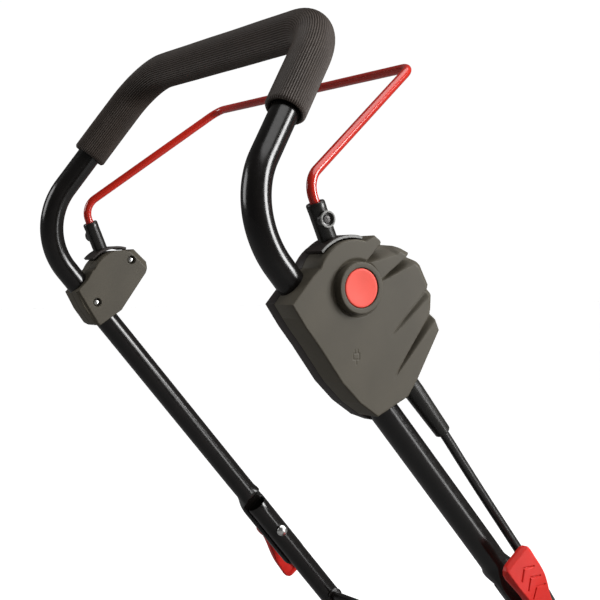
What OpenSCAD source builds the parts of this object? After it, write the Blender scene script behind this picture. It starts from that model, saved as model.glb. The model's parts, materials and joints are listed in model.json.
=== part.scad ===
// Electric reel mower with side wheels, a motor-driven five-blade reel and a folding tube handle.
// Frame: +X is the operator's right, +Y is the direction of travel, +Z is up, the ground is z = 0.

/* [Handle] */
// Diameter of the handle tubes
tube_d = 25; // [24:0.5:26]
// Distance between the centre lines of the two side tubes
tube_span = 444; // [440:2:448]
// Angle of the straight handle tubes above the ground
handle_angle = 49.3; // [48:0.1:51]
// Height of the lower bend of the upper handle above the ground
bend_height = 870; // [850:5:880]
// Distance between the two upper corners of the grip loop
grip_span = 348; // [344:2:352]
// Diameter of the foam grip
grip_d = 36.5; // [35:0.5:38]
// Diameter of the bail wire
bail_d = 8.5; // [8:0.5:9]
// Diameter of the motor cable
cable_d = 8.5; // [8:0.5:9]

/* [Cutting unit] */
// Diameter of the side wheels
wheel_d = 250; // [246:2:254]
// Width of a side wheel
wheel_w = 38; // [34:1:40]
// Diameter of the cutting circle
reel_d = 150; // [146:2:150]
// Number of helical blades
blade_count = 5; // [4:1:6]
// Twist of a blade along the reel, in degrees
blade_twist = 75; // [60:5:90]
// Diameter of the rear roller
roller_d = 44; // [40:2:44]

/* [Hidden] */
$fn = 48;

black_paint = [0.03, 0.03, 0.03];
black_plastic = [0.13, 0.12, 0.11];
red_plastic = [0.78, 0.06, 0.04];
steel = [0.70, 0.71, 0.72];

// Handle path. The bend frame has its origin midway between the two lower bends.
tube_r = tube_d / 2;
tube_wall = 1.5;
side_x = tube_span / 2;
down = [0, cos(handle_angle), -sin(handle_angle)]; // along the straight tubes, towards the ground
out = [0, sin(handle_angle), cos(handle_angle)]; // square to the tubes, forward and up
corner = [grip_span / 2, 114, 169];
bend_radius = 74;
corner_radius = 55;
flat_start = 381; // distances from the bend, along the straight tube
flat_full = 424;
bolt_s = 471;
flat_end = 530;
lower_start = 427;
lower_round = 540;
pivot_point = [0, -110, 215]; // where the lower handle turns on the cutting unit
pivot_s = (bend_height - pivot_point[2]) / sin(handle_angle);
frame_shift = 271; // puts the middle of the whole length over the origin
bend_origin = [0, pivot_point[1] - pivot_s * cos(handle_angle) + frame_shift, bend_height];
tab_in = 5; // faces of the flattened end, from the tube's centre line
tab_out = 11;
bolt_r = 4;
bore_gap = 0.08;

// Switch box and bracket, in the bend frame
bail_y = 96;
bail_z = -58;
bail_x = side_x + 6;
box_in_x = 205; // inner face of the switch box
box_split_x = 218;
box_out_x = 246;
box_wall = 2.6;
dome_r = 37.5;
bracket_in_x = 204;
bracket_split_x = 221;
bracket_out_x = 240;
button_y = 97;
button_z = -60;
button_r = 16;
ring_r = 21.3;
sleeve_angle = 113; // direction of the bail's sleeve from +Y, about the bail's axis
web_half = 2.4;
journal_r = 5; // short shaft that the bail turns on
journal_in = 213;
journal_out = bail_x + 6;
sleeve_foot = 40;
sleeve_top = 73;
sleeve_screw = 58;
bail_bend = 92;
bail_corner = [178, 203.5, 137.5];

// Cutting unit
wheel_r = wheel_d / 2;
axle = [0, wheel_r]; // y, z of the wheel axle
reel_axis = [35, 108];
motor_axis = [-74, 196];
roller_axis = [-165, roller_d / 2];
carrier_axis = [-92, 78];
plate_in = 190; // inner face of a side plate
plate_t = 8;
wheel_in = 238;
reel_r = reel_d / 2;
blade_h = 16;
reel_end_right = 180;
reel_end_left = -170;
pulley_x = -184; // middle of the belt drive
belt_w = 9;
reel_pulley_r = 30;
motor_pulley_r = 12;
motor_r = 40;

box_outline = [
    [34.5, -73], [47, -91], [60, -107], [82.5, -137], [100, -154], [118, -166], [149, -151], [159, -137],
    [182, -96], [174.5, -79], [175, -66.5], [171.5, -57], [163, -41], [150.5, -30.5], [138, -25],
    [123.5, -23.5], [114.5, -17], [104, -22.5], [96, -36], [60, -45], [53, -51.5]
];
inner_skirt = [[100, -154], [119, -167], [133, -172], [146, -172], [149, -151], [130, -140]];
bracket_outline = [
    [42, -67.5], [52, -86], [64, -102], [69, -104.5], [95, -88], [125, -46], [127.5, -38], [127.5, -34],
    [112, -20], [104, -22.5], [96, -36], [60, -45], [54, -55]
];

// Matrix that turns +Z to direction d, with its origin at p
function unit(v) = v / norm(v);
function side_of(d) = abs(d[0]) < 0.9 ? unit(cross(d, [1, 0, 0])) : unit(cross(d, [0, 1, 0]));
function frame_of(p, x, y, z) = [
    [x[0], y[0], z[0], p[0]], [x[1], y[1], z[1], p[1]], [x[2], y[2], z[2], p[2]], [0, 0, 0, 1]
];
function flip(v) = [-v[0], v[1], v[2]];
function on_tube(s, n = 0, x = side_x) = [x, 0, 0] + s * down + n * out;

module along(p, q) {
    d = unit(q - p);
    x = side_of(d);
    multmatrix(frame_of(p, x, cross(d, x), d)) children();
}

module rod(p, q, r, bore = 0) {
    along(p, q) linear_extrude(norm(q - p)) difference() {
        circle(r);
        if (bore > 0) circle(bore);
    }
}

// Round bend at v between directions u (coming in) and w (going out)
module elbow(v, u, w, radius, r, bore = 0) {
    turn = acos(u * w);
    reach = radius * tan(turn / 2);
    n = unit(w - (u * w) * u);
    start = v - u * reach;
    multmatrix(frame_of(start + n * radius, -n, u, cross(u, n)))
        rotate_extrude(angle = turn) translate([radius, 0]) difference() {
            circle(r);
            if (bore > 0) circle(bore);
        }
}

// Round bar through a list of points with one bend radius per inner point
module bent_rod(points, radii, r, bore = 0) {
    swell = 0.06; // elbows are this much fuller, so that the straights end inside them
    lap = 1;
    last = len(points) - 1;
    reach = [for (i = [0:last]) i == 0 || i == last ? 0
        : radii[i - 1] * tan(acos(unit(points[i] - points[i - 1]) * unit(points[i + 1] - points[i])) / 2)];
    for (i = [0:last - 1]) {
        d = unit(points[i + 1] - points[i]);
        rod(points[i] + d * (reach[i] - (i == 0 ? 0 : lap)),
            points[i + 1] - d * (reach[i + 1] - (i + 1 == last ? 0 : lap)), r, bore);
    }
    for (i = [1:last - 1])
        elbow(points[i], unit(points[i] - points[i - 1]), unit(points[i + 1] - points[i]),
              radii[i - 1], r + swell, bore > 0 ? bore - swell : 0);
}

// Shape drawn in (y, z) and extruded from x0 to x1
module side_slab(x0, x1) {
    translate([x0, 0, 0]) rotate([90, 0, 90]) linear_extrude(x1 - x0) children();
}

// Bar with round ends; its straight sides run just inside the tangents, so that they cut the ends cleanly
module bar2d(p, q, r) {
    d = unit(q - p);
    n = (r - 0.03) * [-d[1], d[0]];
    translate(p) circle(r);
    translate(q) circle(r);
    polygon([p + n, p - n, q - n, q + n]);
}

module at_bend() { translate(bend_origin) children(); }
module at_deck() { translate([0, frame_shift, 0]) children(); }
module both_sides() { children(); mirror([1, 0, 0]) children(); }
module x_rod(y, z, x0, x1, r, bore = 0) { side_slab(x0, x1) translate([y, z]) difference() {
    circle(r);
    if (bore > 0) circle(bore);
} }

// ---- Upper handle ----

tab_half = 15.5;

module tube_cross(s) { // cross-section frame of the right-hand tube at distance s
    multmatrix(frame_of(on_tube(s), [1, 0, 0], out, cross([1, 0, 0], out))) children();
}

// Round at the top, pressed flat towards the outer side at the bottom
module pressed_taper() {
    swell = 0.1; // fuller than the flat strap that it laps
    hull() {
        tube_cross(flat_start) translate([0, 0, -1]) cylinder(r = tube_r, h = 1, $fn = 48);
        tube_cross(flat_full) translate([tab_in - swell, -tab_half - swell, -1])
            cube([tab_out - tab_in + 2 * swell, 2 * (tab_half + swell), 1]);
    }
}

// Flat strap with a round end and the hole for the joint bolt
module strap_shape() {
    top = on_tube(flat_full);
    tip = on_tube(flat_end - tab_half);
    hole = on_tube(bolt_s);
    edge = (tab_half - 0.03) * out; // just inside the round end, so that it cuts that cleanly
    difference() {
        union() {
            translate([tip[1], tip[2]]) circle(tab_half);
            polygon([for (p = [top + edge, top - edge, tip - edge, tip + edge]) [p[1], p[2]]]);
        }
        translate([hole[1], hole[2]]) circle(bolt_r + bore_gap);
    }
}

module flattened_end() {
    pressed_taper();
    side_slab(side_x + tab_in, side_x + tab_out) strap_shape();
}

module upper_tube() {
    loop = [on_tube(flat_start), [side_x, 0, 0], corner, flip(corner), [-side_x, 0, 0],
            flip(on_tube(flat_start))];
    color(black_paint) at_bend()
        bent_rod(loop, [bend_radius, corner_radius, corner_radius, bend_radius], tube_r, tube_r - tube_wall);
}

// Pressed ends of the upper tube: round where they leave the tube, flat where the bolt passes
module flat_ends() {
    color(black_paint) at_bend() both_sides() flattened_end();
}

grip_down_right = 104; // how far the foam reaches below the corner
grip_down_left = 110;

module grip_foam() {
    leg = unit([side_x, 0, 0] - corner);
    color([0.14, 0.11, 0.10]) at_bend()
        bent_rod([corner + leg * grip_down_right, corner, flip(corner), flip(corner + leg * grip_down_left)],
                 [corner_radius, corner_radius], grip_d / 2, tube_r);
}

// Carriage bolts with their barrel nuts for the cam levers
lever_pin = 21; // lever pin, from the tube's centre line

module joint_bolts() {
    color(steel) at_bend() both_sides() translate(on_tube(bolt_s)) rotate([0, 90, 0]) {
        translate([0, 0, -tube_r - 0.4]) cylinder(r = bolt_r, h = tube_r + lever_pin + 0.4);
        translate([0, 0, tab_out + 0.05]) cylinder(r = 9, h = 0.65);
        translate([0, 0, -tube_r - 3.4]) intersection() {
            translate([0, 0, 8]) sphere(r = 9.4);
            cylinder(r = 7, h = 3);
        }
        translate([0, 0, lever_pin]) rotate(-handle_angle) translate([-9, 0, 0]) rotate([0, 90, 0])
            cylinder(r = 4.4, h = 18);
    }
}

// ---- Switch box ----

module box_shape(grow = 0) {
    offset(delta = grow) {
        polygon(box_outline);
        translate([bail_y, bail_z]) circle(dome_r);
    }
}

// Way through the dome for the web of the bail's hub
module dome_slot() {
    side_slab(bail_x - web_half - 0.4, bail_x + web_half + 0.4) translate([bail_y, bail_z])
        polygon([[0, 0], 60 * [cos(103), sin(103)], 60 * [cos(143), sin(143)]]);
}

module tube_way(r = tube_r + 0.15) {
    rod(on_tube(20), on_tube(260), r);
}

// Wall and boss that carry the ends of the hub's journal
module journal_wall() {
    side_slab(bail_x + web_half + 0.8, journal_out) intersection() {
        translate([bail_y, bail_z]) circle(dome_r - 1);
        children();
    }
}
module journal_bore() {
    x_rod(bail_y, bail_z, journal_in - 0.3, journal_out + 1, journal_r + 0.06);
}

// Screws that join two half shells, put in from the inner face
module shell_screw(p, x_face, x_end) {
    x_rod(p[0], p[1], x_face + 1.2, x_face + 4, 3.1);
    x_rod(p[0], p[1], x_face + 4, x_end, 1.6);
}
module screw_pocket(p, x_face) {
    x_rod(p[0], p[1], x_face - 1, x_face + 4, 3.4);
    x_rod(p[0], p[1], x_face + 4, x_face + 7, 1.9);
}
module screw_post(p, x0, x1) {
    x_rod(p[0], p[1], x0, x1, 4.6);
}
module screw_seat(p, x_face) {
    x_rod(p[0], p[1], x_face + 0.5, x_face + 6, 4.8);
}

box_screw_at = [[62, -100], [100, -146.5], [168, -97], [156, -48]];

module switch_box_outer() {
    color(black_plastic) at_bend() difference() {
        union() {
            difference() {
                side_slab(box_split_x, box_out_x) box_shape();
                side_slab(box_split_x - 1, box_out_x - box_wall) box_shape(-box_wall);
            }
            for (p = box_screw_at) screw_post(p, box_split_x, box_out_x - 1);
            journal_wall() box_shape(-1);
        }
        for (p = box_screw_at) x_rod(p[0], p[1], box_split_x - 1, box_out_x - 5, 1.6);
        tube_way();
        dome_slot();
        journal_bore();
        x_rod(button_y, button_z, box_out_x - 4, box_out_x + 1, ring_r + 0.1);
        boot_way();
    }
}

module switch_box_inner() {
    color(black_plastic) at_bend() difference() {
        union() {
            difference() {
                union() {
                    side_slab(box_in_x, box_split_x) box_shape();
                    side_slab(box_in_x, box_split_x) polygon(inner_skirt);
                }
                side_slab(box_in_x + box_wall, box_split_x + 1) box_shape(-box_wall);
            }
            for (p = box_screw_at) {
                screw_seat(p, box_in_x);
                screw_post(p, box_in_x + 5, box_split_x);
            }
            x_rod(bail_y, bail_z, box_in_x + 1, bail_x - web_half - 1, journal_r + 3.5);
        }
        for (p = box_screw_at) {
            screw_pocket(p, box_in_x);
            x_rod(p[0], p[1], box_in_x + 6, box_split_x + 1, 1.9);
        }
        tube_way();
        journal_bore();
        boot_way();
        side_slab(box_in_x - 1, box_in_x + box_wall + 1) inlet_shape(0.05);
    }
}

module button_ring() {
    color(black_plastic) at_bend() difference() {
        union() {
            x_rod(button_y, button_z, box_out_x - 5, box_out_x + 6.5, ring_r);
            x_rod(button_y, button_z, box_out_x - 5, box_out_x - box_wall - 0.1, ring_r + 1.6);
        }
        x_rod(button_y, button_z, box_out_x - 6, box_out_x + 8, button_r + 0.35);
    }
}

module lock_button() {
    color([0.95, 0.22, 0.17]) at_bend() {
        x_rod(button_y, button_z, box_out_x - 5, box_out_x + 6, button_r);
        x_rod(button_y, button_z, box_out_x - 6.5, box_out_x - 4.9, 4.4);
    }
}

module button_spring() {
    color(steel) at_bend() x_rod(button_y, button_z, journal_out + 0.1, box_out_x - 5.1, 6.2, 5.2);
}

module microswitch() {
    color([0.2, 0.2, 0.22]) at_bend() side_slab(box_split_x + 1, box_split_x + 12)
        polygon([[128, -112], [152, -92], [142, -78], [118, -98]]);
}

module inlet_shape(grow = 0) {
    translate([132, -92]) rotate(40) square([32 + 2 * grow, 18 + 2 * grow], center = true);
}

module mains_inlet() {
    color(black_plastic) at_bend() {
        difference() {
            side_slab(box_in_x - 14, box_in_x + box_wall + 3) inlet_shape();
            side_slab(box_in_x - 15, box_in_x + box_wall) inlet_shape(-2.4);
        }
        for (k = [-6, 6])
            x_rod(132 + k * cos(40), -92 + k * sin(40), box_in_x - 11, box_in_x + box_wall + 1, 2);
    }
}

// ---- Motor cable ----

// Middle of the cable: it leaves the boot, runs beside the tube, and enters the gland on the hood
boot_top = on_tube(222, 32, 226);
boot_end = on_tube(272, 32, 226);

module boot_way() { rod(on_tube(205, 32, 226), boot_end, 8.9); }

module cable_boot() {
    d = unit(boot_end - boot_top);
    color(black_plastic) at_bend() along(boot_top - 9 * d, boot_end) difference() {
        union() {
            cylinder(r = 8.8, h = 12);
            translate([0, 0, 12]) cylinder(r1 = 8.8, r2 = 7.1, h = norm(boot_end - boot_top) - 3);
        }
        translate([0, 0, -1]) cylinder(r = cable_d / 2 + 0.05, h = 80);
    }
}

cable_upper_path = [
    boot_top - 6 * down, boot_top + 25 * down, boot_end + 2 * down, on_tube(310, 30.5, 225),
    on_tube(350, 29, 224), on_tube(400, 28, 222), on_tube(440, 27.5, 220), on_tube(bolt_s - 0.4, 27, 218)
];
cable_lower_path = [
    on_tube(bolt_s + 0.4, 27, 218), on_tube(500, 25, 217), on_tube(540, 21, 217), on_tube(580, 17.6, 218),
    on_tube(620, 17.6, 218), on_tube(700, 17.6, 218), on_tube(755, 17.6, 218), on_tube(780, 21, 217),
    on_tube(796, 28, 213), on_tube(803, 30.5, 208), on_tube(803, 30.5, 204.4), on_tube(803, 30.5, 200.8)
];
// It crosses to the hood above the side plate; the last run lies on the cutting unit
gland_end = [120, -66, 264]; // end of the gland on the hood
gland_dir = unit([-0.3, 0.1, -1]);
cable_cross = on_tube(803, 30.5, 0) + bend_origin - [0, frame_shift, 0];
cable_deck_path = [
    cable_cross + [199.2, 0, 0], cable_cross + [195.6, 0, 0], cable_cross + [190, 1.2, 0.5],
    cable_cross + [172, 17, 3], [152, -85, 287], [135, -71, 284], gland_end - 11 * gland_dir,
    gland_end, gland_end + 12 * gland_dir
];

// Ring of points square to direction d
function ring(p, d, r, sides) = [
    for (k = [0:sides - 1])
        p + r * (cos(360 * k / sides) * side_of(d) + sin(360 * k / sides) * cross(d, side_of(d)))
];
function tangent(path, i) = unit(path[min(i + 1, len(path) - 1)] - path[max(i - 1, 0)]);
// Smooth points between the listed ones
function blend_point(a, b, c, d, t) =
    0.5 * ((2 * b) + (c - a) * t + (2 * a - 5 * b + 4 * c - d) * t * t + (3 * b - a - 3 * c + d) * t * t * t);
function smooth(path, steps) = [
    for (i = [0:len(path) - 2]) for (k = [0:steps - 1])
        blend_point(path[max(i - 1, 0)], path[i], path[i + 1], path[min(i + 2, len(path) - 1)], k / steps),
    path[len(path) - 1]
];

module swept_cable(path, r, sides = 10) {
    n = len(path);
    points = [for (i = [0:n - 1]) each ring(path[i], tangent(path, i), r, sides)];
    walls = [for (i = [0:n - 2]) for (k = [0:sides - 1])
        [i * sides + k, i * sides + (k + 1) % sides, (i + 1) * sides + (k + 1) % sides, (i + 1) * sides + k]];
    first = [for (k = [0:sides - 1]) sides - 1 - k];
    last = [for (k = [0:sides - 1]) (n - 1) * sides + k];
    polyhedron(points, concat([first], walls, [last]), convexity = 10);
}

module cable_upper() {
    color(black_plastic) at_bend() swept_cable(smooth(cable_upper_path, 3), cable_d / 2 - 0.1);
}

module cable_lower() {
    color(black_plastic) at_bend() swept_cable(smooth(cable_lower_path, 3), cable_d / 2 - 0.1);
}

module cable_deck() {
    color(black_plastic) at_deck() swept_cable(smooth(cable_deck_path, 3), cable_d / 2 - 0.1);
}

clip_at = [620, 745];
clip_cable = [-4, 17.6]; // cable centre beside the tube, across and along out

module tube_clip(s) {
    tube_cross(s) linear_extrude(12) difference() {
        union() {
            circle(tube_r + 2.2);
            translate(clip_cable) circle(cable_d / 2 + 2);
        }
        circle(tube_r + 0.02);
        translate(clip_cable) circle(cable_d / 2 + 0.02);
        translate([3, -4]) square([30, 9]);
    }
}

module cable_clips() {
    color(black_plastic) at_bend() for (s = clip_at) tube_clip(s);
}

// ---- Left bracket ----

module bracket_shape(grow = 0) {
    offset(delta = grow) {
        polygon(bracket_outline);
        polygon([
            [bail_y, bail_z],
            for (a = [78:4:158]) [bail_y + (dome_r - 1) * cos(a), bail_z + (dome_r - 1) * sin(a)]
        ]);
    }
}

module bracket_half(x0, x1, cavity0, cavity1) {
    difference() {
        side_slab(x0, x1) bracket_shape();
        side_slab(cavity0, cavity1) bracket_shape(-box_wall);
    }
}

bracket_screw_at = [[107, -32], [66, -79]];

module bracket_inner_cover() {
    color(black_plastic) at_bend() mirror([1, 0, 0]) difference() {
        union() {
            bracket_half(bracket_in_x, bracket_split_x, bracket_in_x + box_wall, bracket_split_x + 1);
            for (p = bracket_screw_at) {
                screw_seat(p, bracket_in_x);
                screw_post(p, bracket_in_x + 5, bracket_split_x);
            }
            x_rod(bail_y, bail_z, bracket_in_x + 1, bail_x - web_half - 1, journal_r + 3.5);
        }
        for (p = bracket_screw_at) {
            screw_pocket(p, bracket_in_x);
            x_rod(p[0], p[1], bracket_in_x + 6, bracket_split_x + 1, 1.9);
        }
        tube_way();
        journal_bore();
    }
}

module bracket_outer_cover() {
    color(black_plastic) at_bend() mirror([1, 0, 0]) difference() {
        union() {
            bracket_half(bracket_split_x, bracket_out_x, bracket_split_x - 1, bracket_out_x - box_wall);
            for (p = bracket_screw_at) screw_post(p, bracket_split_x, bracket_out_x - 1);
            journal_wall() bracket_shape(-1);
        }
        for (p = bracket_screw_at) x_rod(p[0], p[1], bracket_split_x - 1, bracket_out_x - 4, 1.6);
        tube_way();
        dome_slot();
        journal_bore();
    }
}

module housing_screws() {
    color(steel) at_bend() {
        for (p = box_screw_at) shell_screw(p, box_in_x, box_split_x + 12);
        mirror([1, 0, 0]) {
            shell_screw(bracket_screw_at[0], bracket_in_x, bracket_split_x + 10);
            shell_screw(bracket_screw_at[1], bracket_in_x, side_x - tube_r - 0.5);
        }
    }
}

// ---- Bail ----

function bail_ray(r) = [bail_x, bail_y + r * cos(sleeve_angle), bail_z + r * sin(sleeve_angle)];

module bail_wire() {
    path = [bail_ray(46), bail_ray(bail_bend), bail_corner, flip(bail_corner), flip(bail_ray(bail_bend)),
            flip(bail_ray(46))];
    color([0.85, 0.09, 0.04]) at_bend() bent_rod(path, [20, 17, 17, 20], bail_d / 2);
}

shield_half = 12.5;
shield_front = 37; // degrees of the shield before and behind the sleeve
shield_back = 25;

module bail_hub() {
    difference() {
        union() {
            along(bail_ray(sleeve_foot), bail_ray(sleeve_top)) cylinder(r = 8, h = sleeve_top - sleeve_foot);
            // curved shield that slides over the dome
            translate([bail_x - shield_half, bail_y, bail_z]) rotate([90, 0, 90])
                rotate(sleeve_angle - shield_front)
                    rotate_extrude(angle = shield_front + shield_back)
                        translate([dome_r + 1.1, 0]) square([2.8, 2 * shield_half]);
            // web through the dome, and the journal inside
            side_slab(bail_x - web_half, bail_x + web_half) translate([bail_y, bail_z])
                bar2d([0, 0], (sleeve_foot + 1) * [cos(sleeve_angle), sin(sleeve_angle)], 4.5);
            x_rod(bail_y, bail_z, journal_in, journal_out - 0.3, journal_r);
            translate(bail_ray(sleeve_screw)) rotate([0, 90, 0]) cylinder(r = 6.6, h = 11);
        }
        along(bail_ray(45.9), bail_ray(90)) cylinder(r = bail_d / 2 + 0.05, h = 60);
        translate(bail_ray(sleeve_screw)) rotate([0, 90, 0]) cylinder(r = 3.7, h = 20);
    }
}

module bail_hub_right() { color(black_plastic) at_bend() bail_hub(); }
module bail_hub_left() { color(black_plastic) at_bend() mirror([1, 0, 0]) bail_hub(); }

module bail_screws() {
    color([0.25, 0.25, 0.26]) at_bend() both_sides() translate(bail_ray(sleeve_screw)) rotate([0, 90, 0])
        translate([0, 0, bail_d / 2 + 0.05]) cylinder(r = 3.65, h = 5);
}

// ---- Cam levers ----

// Drawn with its pin at the origin, the free end along +X, outwards +Z, pin along Y
module cam_lever(reach) {
    cam_r = 9;
    difference() {
        union() {
            rotate([90, 0, 0]) translate([0, 0, -11]) cylinder(r = cam_r, h = 22);
            hull() {
                translate([2, -11, 1]) cube([4, 22, 8]);
                translate([reach - 26, -17, 13]) cube([2, 34, 7]);
            }
            hull() {
                translate([reach - 26, -17, 13]) cube([2, 34, 7]);
                for (k = [-1, 1]) translate([reach - 6, k * 12, 14]) cylinder(r = 6, h = 7);
            }
        }
        rotate([90, 0, 0]) translate([0, 0, -12]) cylinder(r = 4.6, h = 24);
        translate([-20, -4.6, -20]) cube([31, 9.2, 40]);
    }
}

lever_reach = 82;

module cam_lever_right() {
    color(red_plastic) at_bend() multmatrix(frame_of(on_tube(bolt_s) + [lever_pin, 0, 0], -down,
        cross([1, 0, 0], -down), [1, 0, 0])) cam_lever(lever_reach);
}

module cam_lever_left() {
    color(red_plastic) at_bend() multmatrix(frame_of(flip(on_tube(bolt_s) + [lever_pin, 0, 0]), down,
        cross([-1, 0, 0], down), [-1, 0, 0])) cam_lever(lever_reach);
}

// ---- Lower handle ----

module d_section(r) {
    intersection() {
        circle(r);
        translate([-20, -20]) square([20 + tab_in - 0.5 - (tube_r - r), 40]);
    }
}

module lower_tube() {
    difference() {
        union() {
            tube_cross(lower_round) linear_extrude(lower_round - lower_start) difference() {
                d_section(tube_r - 0.06);
                d_section(tube_r - tube_wall + 0.06);
            }
            rod(on_tube(lower_round - 1), on_tube(pivot_s + foot_reach), tube_r, tube_r - tube_wall);
        }
        for (s = [bolt_s, pivot_s])
            translate(on_tube(s) - [20, 0, 0]) rotate([0, 90, 0]) cylinder(r = bolt_r + bore_gap, h = 40);
        translate(on_tube(brace_s)) rotate([0, -90, 0]) cylinder(r = brace_pin_r, h = 20);
    }
}

brace_s = 590;
brace_pin_r = 3.1;
foot_reach = 13; // tube below the pivot bolt

module lower_tube_right() { color(black_paint) at_bend() lower_tube(); }
module lower_tube_left() { color(black_paint) at_bend() mirror([1, 0, 0]) lower_tube(); }

// Open ends of the lower tubes, closed by plastic plugs
module tube_plugs() {
    color(black_plastic) at_bend() both_sides() {
        p = on_tube(pivot_s + foot_reach);
        rod(p, p + 2.5 * down, tube_r + 0.5);
        rod(p - 4 * down, p + 0.5 * down, tube_r - tube_wall - 0.02);
    }
}

// Rod between the two lower tubes, with a flange at each end
module cross_brace() {
    p = on_tube(brace_s, 0, side_x - tube_r - 1.25);
    color(black_paint) at_bend() {
        rod(p, flip(p), 6, 4.8);
        both_sides() rod(p, p + [1.2, 0, 0], 10);
        both_sides() rod(p + [1, 0, 0], p + [9, 0, 0], brace_pin_r - 0.02);
    }
}

// ---- Cutting unit ----

hood_screw_at = [reel_axis + 78.5 * [cos(62), sin(62)], motor_axis + 44.5 * [cos(125), sin(125)]];
tie_at = [[115, 134], [-118, 118]];
catcher_at = [-146, 160];

// Arm that narrows from point p to the front tie rod
module tie_arm(p, r) {
    hull() {
        translate(p) circle(r);
        translate(tie_at[0]) circle(8.6);
    }
}

module plate_shape() {
    translate(reel_axis) circle(34);
    translate(axle) circle(30);
    tie_arm(reel_axis, 20);
    bar2d(reel_axis, [10, 46], 20);
    bar2d([10, 46], [-40, 52], 13);
    bar2d(axle, carrier_axis, 24);
    bar2d(axle, [-20, 190], 22);
    bar2d([-20, 190], [pivot_point[1], pivot_point[2]], 20);
    bar2d(carrier_axis, tie_at[1], 16);
    bar2d(tie_at[1], catcher_at, 14);
    bar2d(catcher_at, [pivot_point[1], pivot_point[2]], 13);
    intersection() {
        hood_profile(-0.5);
        translate([-200, 112]) square([400, 200]);
    }
    tie_arm([20, 178], 13);
    bar2d([20, 178], [-20, 190], 13);
    polygon([reel_axis, tie_at[0], [20, 178], [-20, 190], [pivot_point[1], pivot_point[2]], catcher_at,
             carrier_axis, [-40, 52], [10, 46]]);
}

module side_plate() {
    difference() {
        union() {
            side_slab(plate_in, plate_in + plate_t) plate_shape();
            x_rod(axle[0], axle[1], plate_in + plate_t, plate_in + plate_t + 14, 21);
            x_rod(pivot_point[1], pivot_point[2], plate_in + plate_t, side_x - tube_r - 0.3, 13);
            x_rod(reel_axis[0], reel_axis[1], plate_in + plate_t, plate_in + plate_t + 5, 24);
        }
        x_rod(reel_axis[0], reel_axis[1], plate_in - 1, plate_in + plate_t + 1, 16.05);
        x_rod(axle[0], axle[1], plate_in - 1, 240, 8.05);
        x_rod(pivot_point[1], pivot_point[2], plate_in - 1, 240, bolt_r + bore_gap);
        x_rod(catcher_at[0], catcher_at[1], plate_in - 1, 240, 5);
        x_rod(carrier_axis[0], carrier_axis[1], plate_in - 1, 240, 6.05);
        for (p = tie_at) x_rod(p[0], p[1], plate_in - 1, 240, 4.05);
        for (y = [-16, -34]) x_rod(y, 52, plate_in - 1, 240, 3.05);
        for (p = hood_screw_at) x_rod(p[0], p[1], plate_in - 1, 240, 2.1);
    }
}

module side_plate_right() { color(black_plastic) at_deck() side_plate(); }
module side_plate_left() { color(black_plastic) at_deck() mirror([1, 0, 0]) side_plate(); }

module handle_pivot_bolts() {
    color(steel) at_deck() both_sides() {
        x_rod(pivot_point[1], pivot_point[2], plate_in - 9, side_x + tube_r + 0.4, bolt_r);
        x_rod(pivot_point[1], pivot_point[2], side_x + tube_r + 0.4, side_x + tube_r + 4.4, 6.8);
        translate([plate_in - 7.4, pivot_point[1], pivot_point[2]]) rotate([0, 90, 0]) rotate(30)
            cylinder(r = 7.4, h = 7, $fn = 6);
    }
}

module tie_rods() {
    color(steel) at_deck() for (p = tie_at) {
        x_rod(p[0], p[1], -plate_in - plate_t, plate_in + plate_t, 4);
        x_rod(p[0], p[1], -plate_in + 0.1, plate_in - 0.1, 6.5);
        both_sides() translate([plate_in + plate_t, p[0], p[1]]) rotate([0, 90, 0])
            cylinder(r = 7, h = 5.5, $fn = 6);
    }
}

module bed_bar() {
    color([0.10, 0.10, 0.10]) at_deck() difference() {
        union() {
            side_slab(-plate_in + 0.1, plate_in - 0.1)
                polygon([[-48, 46], [-8, 36.6], [0, 36.6], [-1, 42], [-14, 52], [-38, 60], [-48, 60]]);
            for (y = [-16, -34]) x_rod(y, 52, -plate_in - plate_t, plate_in + plate_t, 3);
        }
        x_rod(reel_axis[0], reel_axis[1], -plate_in, plate_in, reel_r + 2);
        for (x = [-150:60:150]) translate([x, -5, 30]) cylinder(r = 2.6, h = 30);
    }
}

module bed_knife() {
    color(steel) at_deck() difference() {
        translate([-186, -14, 33]) cube([372, 25.5, 3.4]);
        for (x = [-150:60:150]) translate([x, -5, 30]) cylinder(r = 2.7, h = 30);
    }
}

module axle_stubs() {
    color(steel) at_deck() both_sides() {
        x_rod(axle[0], axle[1], plate_in + 0.5, wheel_in + wheel_w + 1, 8);
        x_rod(axle[0], axle[1], plate_in + plate_t + 14, wheel_in - 1.5, 12);
        x_rod(axle[0], axle[1], wheel_in + wheel_w + 1, wheel_in + wheel_w + 3, 11);
    }
}

module bearings() {
    color(steel) at_deck() {
        both_sides() x_rod(reel_axis[0], reel_axis[1], plate_in + 1, plate_in + plate_t, 16, 8.05);
        x_rod(motor_axis[0], motor_axis[1], -134, -127, 11, 5.05);
        x_rod(motor_axis[0], motor_axis[1], 27, 34, 11, 5.05);
    }
}

// Hood: one skin over the reel, the belt and the motor
module hood_profile(grow = 0) {
    translate(reel_axis) circle(reel_r + 12 + grow);
    translate(motor_axis) circle(motor_r + 13 + grow);
    polygon([
        reel_axis + (reel_r + 11.9 + grow) * [cos(100), sin(100)],
        motor_axis + (motor_r + 12.9 + grow) * [cos(70), sin(70)],
        motor_axis + (motor_r + 12.9 + grow) * [cos(200), sin(200)],
        [-136 - grow, 110], [-30, 110], reel_axis
    ]);
}

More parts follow.
